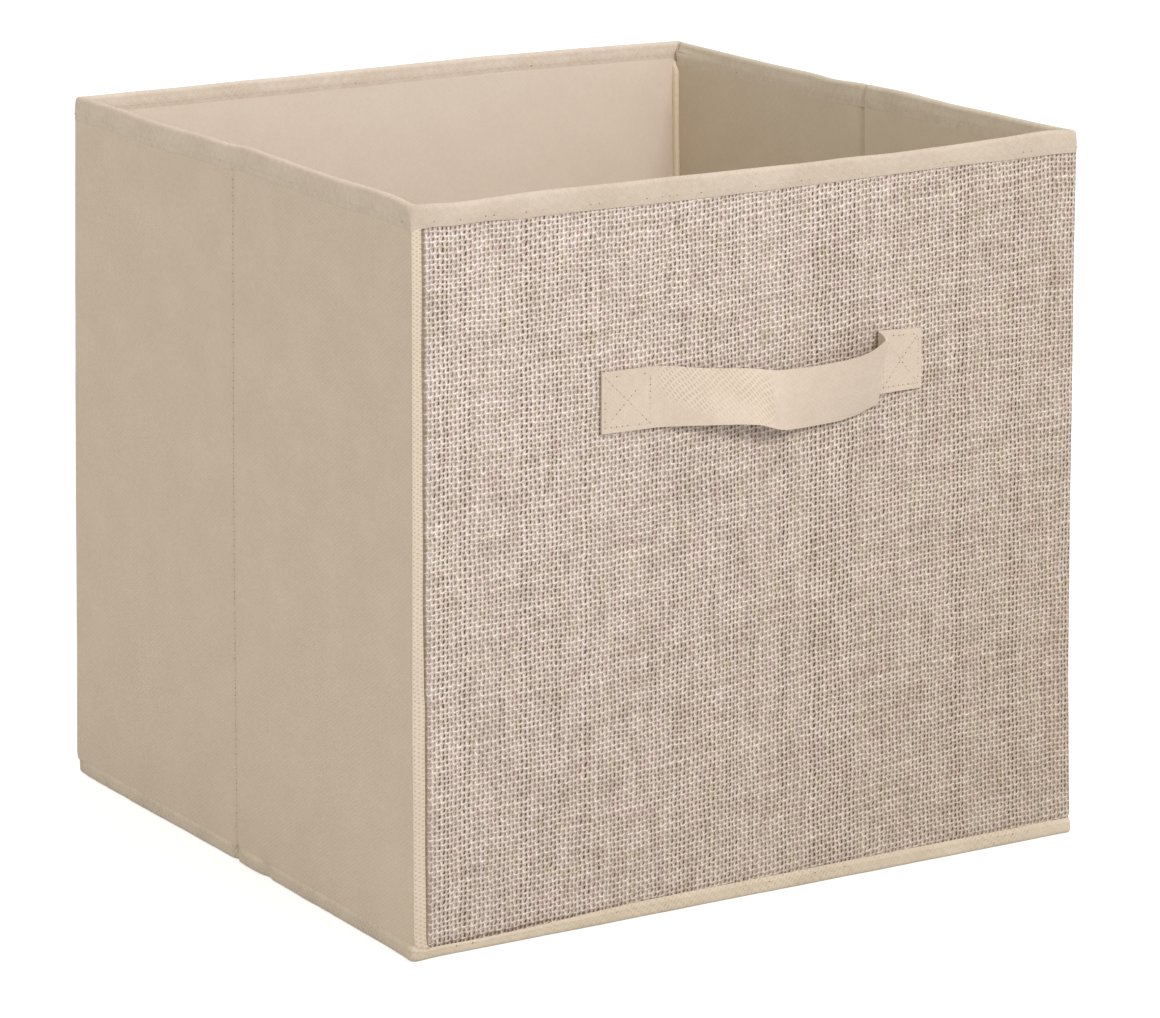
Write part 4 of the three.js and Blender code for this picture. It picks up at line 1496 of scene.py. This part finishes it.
# %% The insert's sleeve
insert_columns = stations(
    (insert_low.x, 0.4 * MM), (insert_low.x + INSERT_EDGE, 3.5 * MM), (insert_high.x - INSERT_EDGE, 0.4 * MM),
    (insert_high.x, 0),
)
insert_rows = stations(
    (0, 0.4 * MM),
    (INSERT_EDGE, 1.3 * MM),
    (INSERT_CORNER, 3.5 * MM),
    (insert_depth - INSERT_CORNER, 1.3 * MM),
    (insert_depth - INSERT_EDGE, 0.4 * MM),
    (insert_depth + INSERT_EDGE, 1.3 * MM),
    (insert_depth + INSERT_CORNER, 3.5 * MM),
    (2 * insert_depth - INSERT_CORNER, 1.3 * MM),
    (2 * insert_depth - INSERT_EDGE, 0.4 * MM),
    (2 * insert_depth, 0),
)


def insert_place(u, v):
    """The sleeve's cloth runs forward under the board, round its front edge, and back over the top."""
    over = v > insert_depth
    y = np.where(over, insert_low.y + v - insert_depth, insert_high.y - v)
    to_end = np.minimum(y - insert_low.y, insert_high.y - y)
    short = np.clip(INSERT_CORNER - to_end, 0, INSERT_CORNER)
    half = (insert_high.x - insert_low.x) / 2
    half_here = half - INSERT_CORNER + np.sqrt(INSERT_CORNER**2 - short**2)
    x = u * half_here / half
    edge = half_here - np.abs(x)

    def rounded(distance, reach):
        return np.sqrt(1 - (1 - np.clip(distance / reach, 0, 1)) ** 2)

    fullness = rounded(edge, INSERT_ROUND) * rounded(to_end, INSERT_ROUND)
    inward = np.minimum(edge, to_end)
    sewn_in = 0.3 * MM * groove(inward, INSERT_SEAM, 1.1 * MM)
    half_thick = (insert_high.z - insert_low.z) / 2
    middle = (insert_high.z + insert_low.z) / 2
    top = middle + half_thick * fullness - sewn_in
    place = np.column_stack([x, y, top])
    place[:, 2] += 0.18 * MM * ripple(place, 45 * MM, 2.9) * smooth(inward / (15 * MM))
    place[:, 2] = np.where(over, place[:, 2], middle - half_thick * fullness)
    return place


sleeve = hang_cloth("insert_sleeve", insert_columns, insert_rows, insert_place, NONWOVEN)
attach(sleeve, "base_insert", ["insert_cover"], lining_fabric)

# %% [markdown]
# ## The handle strap
# A strip of thick nonwoven, sewn flat at both ends with its slack middle standing off the cover. It leaves
# the left end gently and has a soft crease near its middle. Left of the crease its lower edge stands off
# most, right of it its upper edge does, and it turns in sharply at the right end. Its two edges don't move
# alike, so the standoff and the drop are given along each edge, and the cloth lies between them.

# %% The strap's curves
strap_low, strap_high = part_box("handle_strap")
STRAP_LENGTH = 142 * MM  # flat: its slack makes it longer than the space between its ends
STRAP_WIDTH = 22 * MM
STRAP_THICK = 0.9 * MM
STRAP_FACE = -0.4 * MM  # inset of the sewn ends' outer face
LEFT_END, RIGHT_END = 20.6, 124  # the loose part, in millimetres along the flat strap

# At places along the flat strap, in millimetres: how far it has gone across the front, and for each edge how
# far it stands off the cover and how far it has dropped
ACROSS = [(0, 0), (20.6, 20.6), (117, 115.8), (124, 116.9), (142, 135)]
TOP_STANDOFF = [
    (0, 0), (20.6, 0), (45, 1.2), (69, 1.9), (83, 2.9), (98, 4.7), (110, 6.6), (116, 7), (120, 4.6), (124, 0),
    (142, 0),
]
LOW_STANDOFF = [
    (0, 0), (20.6, 0), (40, 2.6), (52, 5.0), (62, 6.6), (69, 6.2), (77, 3.6), (86, 1.6), (98, 0.9),
    (112, 0.9), (118, 0.7), (124, 0), (142, 0),
]
TOP_DROP = [
    (0, -0.5), (20.6, -0.4), (45, 2.6), (60, 4.2), (76, 6.3), (84, 6.4), (98, 5.6), (106, 4.4), (111, 2.8),
    (117, -0.4), (124, -2.6), (142, -2),
]
LOW_DROP = [
    (0, -0.7), (20.6, -0.6), (40, 0.3), (55, 1.1), (62, 1.9), (70, 4.4), (77, 5.8), (85, 6.4), (98, 6.1),
    (106, 5.0), (112, 3.2), (117, 1.6), (124, -1.6), (142, -1.9),
]
STRAP_CREASE = 72  # where its crease meets its lower edge
STRAP_CROWN = 0.4  # how much further its middle stands off than its edges


print("the strap stands off by up to", max(away for _, away in TOP_STANDOFF + LOW_STANDOFF), "mm")

# %% Cut and hang the strap
def gone_across(at):
    """How far across the front the strap has gone, its turns softened a little."""
    known_at, known_across = np.array(ACROSS, float).T
    return sum(np.interp(at + shift, known_at, known_across) for shift in (-0.8, 0, 0.8)) / 3


def strap_place(u, v):
    """u runs along the strap, and v up it from its lower edge."""
    at = u / MM
    share = v / STRAP_WIDTH
    standoff = curve_through(LOW_STANDOFF, at) * (1 - share) + curve_through(TOP_STANDOFF, at) * share
    drop = curve_through(LOW_DROP, at) * (1 - share) + curve_through(TOP_DROP, at) * share
    loose = smooth((at - LEFT_END) / 12) * smooth((RIGHT_END - 6 - at) / 8)
    crown = 4 * share * (1 - share) * STRAP_CROWN * loose
    ridge = groove(at, STRAP_CREASE - 3 * share, 3.2, 5.0) * loose
    away = (standoff + crown + ridge) * MM
    height = strap_high.z - STRAP_WIDTH + v - drop * MM
    rest = np.column_stack([strap_low.x + gone_across(at) * MM, FRONT + STRAP_FACE - away, height])
    wave = ripple(rest, 16 * MM, 1.3) * 0.15 * MM + ripple(rest, 5 * MM, 3.1) * 0.05 * MM
    rest[:, 1] += wave
    return settle(rest)


STRAP_STEP = 0.8 * MM
strap_columns = stations((0, STRAP_STEP), (110 * MM, 0.4 * MM), (126 * MM, STRAP_STEP), (STRAP_LENGTH, 0))
strap_rows = stations((0, STRAP_STEP), (STRAP_WIDTH, 0))
strap = hang_cloth("handle_strap_cloth", strap_columns, strap_rows, strap_place, STRAP_THICK)
edge_angle = math.radians(60)
apply_modifier(strap, "BEVEL", width=0.25 * MM, segments=2, limit_method="ANGLE", angle_limit=edge_angle)
attach(strap, "front_wall", ["handle_strap"], strap_fabric)

# %% [markdown]
# ## Stitching
# Every seam is lockstitch in thin thread. One stitch is modelled: a short sphere, stretched and half sunk in
# the cloth. It is then copied along each seam. A seam is given on the flat cloth, and goes through the same
# placing function as the cloth, so the stitches sit on its surface. Where a needle went in, the cloth keeps a
# small hole, drawn as a low dark cap on the cloth whose colour is painted shade.

# %% One stitch and one needle hole
STITCH = 2.6 * MM
STITCH_GAP = 0.6 * MM
STITCH_JITTER = 0.06  # in stitches
THREAD, THREAD_SUNK = 0.17 * MM, 0.06 * MM  # half its thickness, and how deep its middle lies in the cloth


def small_shape(kind):
    """The vertices and faces of a little primitive, which is then removed."""
    deselect_all()
    if kind == "stitch":
        bpy.ops.mesh.primitive_uv_sphere_add(segments=6, ring_count=4, radius=1)
    else:
        bpy.ops.mesh.primitive_cone_add(vertices=7, radius1=1, radius2=0.55, depth=0.5, end_fill_type="NGON")
    shape = bpy.context.object
    points = points_of(shape)
    faces = [tuple(face.vertices) for face in shape.data.polygons]
    bpy.data.objects.remove(shape)
    return points, faces


STITCH_SHAPE, HOLE_SHAPE = small_shape("stitch"), small_shape("hole")
print("one stitch has", len(STITCH_SHAPE[1]), "faces")

# %% Copy it along a seam
def scatter(name, shape, frames, material):
    """One mesh with a copy of the shape in each frame: (middle, three axes with their lengths)."""
    points, faces = shape
    places = np.concatenate([middle + points @ np.array(axes) for middle, axes in frames])
    count = len(points)
    all_faces = [tuple(i + n * count for i in face) for n in range(len(frames)) for face in faces]
    mesh = bpy.data.meshes.new(name)
    mesh.from_pydata(places.tolist(), [], all_faces)
    piece = bpy.data.objects.new(name, mesh)
    scene.collection.objects.link(piece)
    mesh.materials.append(material)
    pick(piece)
    bpy.ops.object.shade_smooth()
    return piece


def surface_frames(place, u, v, way_u, way_v):
    """Places on the cloth at (u, v), with the directions along the seam, across it and out of the cloth."""
    step = 0.2 * MM
    here = place(u, v)
    along = place(u + way_u * step, v + way_v * step) - here
    aside = place(u - way_v * step, v + way_u * step) - here
    along /= np.linalg.norm(along, axis=1)[:, None]
    out = np.cross(along, aside)
    out /= np.linalg.norm(out, axis=1)[:, None]
    return here, along, np.cross(out, along), out


def seam_points(start, end, pitch, jitter, seed):
    """Evenly spaced places on the flat cloth from start to end, each shifted a little by chance."""
    chance = random.Random(seed)
    start, end = np.array(start, float), np.array(end, float)
    length = np.linalg.norm(end - start)
    count = max(1, int(length / pitch))
    share = np.array([(i + 0.5 + chance.uniform(-jitter, jitter)) / count for i in range(count)])
    points = start + (end - start) * share[:, None]
    way = (end - start) / length
    return points[:, 0], points[:, 1], np.full(count, way[0]), np.full(count, way[1])


def sew(name, place, lines, holder, holes, seed, stitch=STITCH):
    """Rows of stitches on the cloth that place() hangs, along lines ((u, v), (u, v)) of the flat cloth."""
    chance = random.Random(seed)
    threads, pricks = [], []
    for line in lines:
        u, v, way_u, way_v = seam_points(*line, stitch + STITCH_GAP, STITCH_JITTER, seed)
        here, along, aside, out = surface_frames(place, u, v, way_u, way_v)
        for p, a, s, o in zip(here, along, aside, out):
            lean = a + s * chance.uniform(-0.08, 0.08)
            threads.append((p - o * THREAD_SUNK, (lean * stitch / 2, s * THREAD, o * THREAD)))
            if chance.random() < holes:
                radius = chance.uniform(0.22, 0.34) * MM
                place_of_hole = p - a * (stitch + STITCH_GAP) / 2 + o * 0.01 * MM
                pricks.append((place_of_hole, (a * radius, s * radius, o * 0.1 * MM)))
    made = [scatter(name + "_stitches", STITCH_SHAPE, threads, sewing_thread)]
    if pricks:
        made.append(scatter(name + "_holes", HOLE_SHAPE, pricks, needle_hole_shade))
    for piece in made:
        hold(piece, holder)
    print(name, len(threads), "stitches,", len(pricks), "holes")


def build_hole_material():
    material, tree, shader = new_material("needle_hole_shade", roughness=1.0, specular=0.0)
    place = tree.nodes.new("ShaderNodeTexCoord").outputs["Object"]
    uneven = noise_at(tree, place, 1500, 1)
    # Painted shade: a low cap on the cloth, coloured dark to stand for the shade inside a needle hole.
    dark = mix_colour(tree, uneven, colour(112, 92, 70), colour(160, 140, 116))
    tree.links.new(dark, shader.inputs["Base Color"])
    tree.links.new(threshold(tree, uneven, 0, 1, 1.0, 0.85), shader.inputs["Roughness"])
    add_bump(tree, shader, uneven, 0.05 * MM)
    return material


needle_hole_shade = build_hole_material()
print("a stitch repeats every", round((STITCH + STITCH_GAP) / MM, 1), "mm")

# %% [markdown]
# ## Where the seams run
# The rim is sewn 2.4 mm above its lower outer edge, all round, and the seam shows on its inner leg too. The
# folds of the side walls are sewn from rim to hem, the front hem below its upper edge, the insert's sleeve
# along its sides and back, and each end of the strap in a box with a cross.

# %% Sew the seams
RIM_SEAM, INNER_RIM_SEAM = 2.4 * MM, RIM_CUT - 1.6 * MM
RIM_SEAMS = {
    "front_rim": (LEFT_JOIN, LAP + RIGHT_JOIN, "front_wall"),
    "left_front_rim": (left_lap, LEFT_JOIN, "front_left"),
    "left_fold_rim": (left_start, left_lap, "left_fold"),
    "left_rear_rim": (back_lap, left_start, "back_left"),
    "back_rim": (along_right(INNER_BACK) + MM, back_lap, "back_wall"),
    "right_fold_rim": (right_lap, right_end, "right_fold"),
    "right_front_rim": (RIGHT_JOIN, right_lap, "front_right"),
}
for seed, (name, (start, end, holder)) in enumerate(RIM_SEAMS.items()):
    rows = [((start, row), (end, row)) for row in (RIM_SEAM, INNER_RIM_SEAM)]
    sew(name, rim_place, rows, holder, holes=0.25 if name == "front_rim" else 0.08, seed=10 + seed)

fold_low, fold_high = HEM_HEIGHT + MM, TOP - RIM_OUTSIDE - MM
skin_place = wall_place(skin_inset)
for name, fold in (("left_fold", FOLD_LEFT), ("right_fold", FOLD_RIGHT)):
    lines = [((u, fold_low), (u, fold_high)) for u in (fold - 0.7 * MM, fold + 0.7 * MM)]
    sew(name, skin_place, lines, name, stitch=2.2 * MM, holes=0.9, seed=31)

HEM_SEAM = HEM_CUT - 1.9 * MM
hem_row = ((along_left(INNER_FRONT) + MM, HEM_SEAM), (front_end - MM, HEM_SEAM))
sew("front_hem", hem_place, [hem_row], "front_wall", holes=0.2, seed=41)

side_seam = insert_high.x - INSERT_SEAM
seam_start, seam_end = insert_depth + INSERT_CORNER, 2 * insert_depth - INSERT_CORNER
back_seam, seam_reach = 2 * insert_depth - INSERT_SEAM, insert_high.x - INSERT_CORNER
insert_seams = [((x, seam_start), (x, seam_end)) for x in (-side_seam, side_seam)]
insert_seams.append(((-seam_reach, back_seam), (seam_reach, back_seam)))
sew("insert", insert_place, insert_seams, "base_insert", holes=0.2, seed=61)

BOX_EDGE = 2 * MM
strap_seams = []
for start, end in ((1.6 * MM, 20 * MM), (STRAP_LENGTH - 16.4 * MM, STRAP_LENGTH - 1.6 * MM)):
    low, high = BOX_EDGE, STRAP_WIDTH - BOX_EDGE
    strap_seams += [((start, low), (end, low)), ((start, high), (end, high))]
    strap_seams += [((start, low), (start, high)), ((end, low), (end, high))]
    strap_seams += [((start, low), (end, high)), ((start, high), (end, low))]
sew("strap", strap_place, strap_seams, "front_wall", stitch=1.5 * MM, holes=0.75, seed=51)

# %% [markdown]
# ## The studio
# A plain pale floor and plain soft light. The world lights everything evenly, and one large soft lamp, above
# and to the right of the camera, makes the front and the rims the brightest faces. The background is white to
# the camera only, through Is Camera Ray, so it adds no light to the bin, and the floor keeps the soft shadow
# where the bin stands.

# %% Floor, world and lamp
WORLD_LEVEL = 0.95  # the light that falls on the bin from all round
FLOOR_GLOW = 0.62  # the light that the camera alone sees on the floor, which makes it white
KEY_WATTS, KEY_SIZE = 9.4, 0.4
KEY_PLACE = Vector((0.22, -1.28, 1.14))


def seen_directly(tree):
    """1 for what the camera, a reflection or a see-through ray meets first, and 0 for light on the object."""
    path = tree.nodes.new("ShaderNodeLightPath").outputs
    calc = calculator(tree)
    return calc(
        "MINIMUM",
        calc("ADD", calc("ADD", path["Is Camera Ray"], path["Is Glossy Ray"]), path["Is Transmission Ray"]),
        1.0,
    )


def build_floor():
    deselect_all()
    bpy.ops.mesh.primitive_plane_add(size=12)
    floor = bpy.context.object
    floor.name = "floor"
    material, tree, shader = new_material("pale_floor", roughness=0.9, specular=0.0)
    place = tree.nodes.new("ShaderNodeTexCoord").outputs["Object"]
    uneven = noise_at(tree, place, 3, 2)
    pale = mix_colour(tree, uneven, colour(196, 196, 195), colour(200, 200, 199))
    tree.links.new(pale, shader.inputs["Base Color"])
    glow = calculator(tree)("MULTIPLY", seen_directly(tree), FLOOR_GLOW)
    tree.links.new(glow, shader.inputs["Emission Strength"])
    shader.inputs["Emission Color"].default_value = WHITE
    floor.data.materials.append(material)


def build_world():
    world = bpy.data.worlds.new("studio")
    world.use_nodes = True
    tree = world.node_tree
    background = next(n for n in tree.nodes if n.type == "BACKGROUND")
    calc = calculator(tree)
    seen = seen_directly(tree)
    level = calc("ADD", seen, calc("MULTIPLY", calc("SUBTRACT", 1.0, seen), WORLD_LEVEL))
    background.inputs["Color"].default_value = WHITE
    tree.links.new(level, background.inputs["Strength"])
    scene.world = world


def add_key_light():
    bpy.ops.object.light_add(type="AREA", location=KEY_PLACE)
    key = bpy.context.object
    key.name = "key_light"
    key.data.shape = "DISK"
    key.data.size = KEY_SIZE
    key.data.energy = KEY_WATTS
    aim = Vector((0, MIDDLE_Y, TOP / 2)) - KEY_PLACE
    key.rotation_mode = "QUATERNION"
    key.rotation_quaternion = aim.to_track_quat("-Z", "Y")


build_floor()
build_world()
add_key_light()
scene.view_settings.view_transform = "Standard"
print("studio ready")
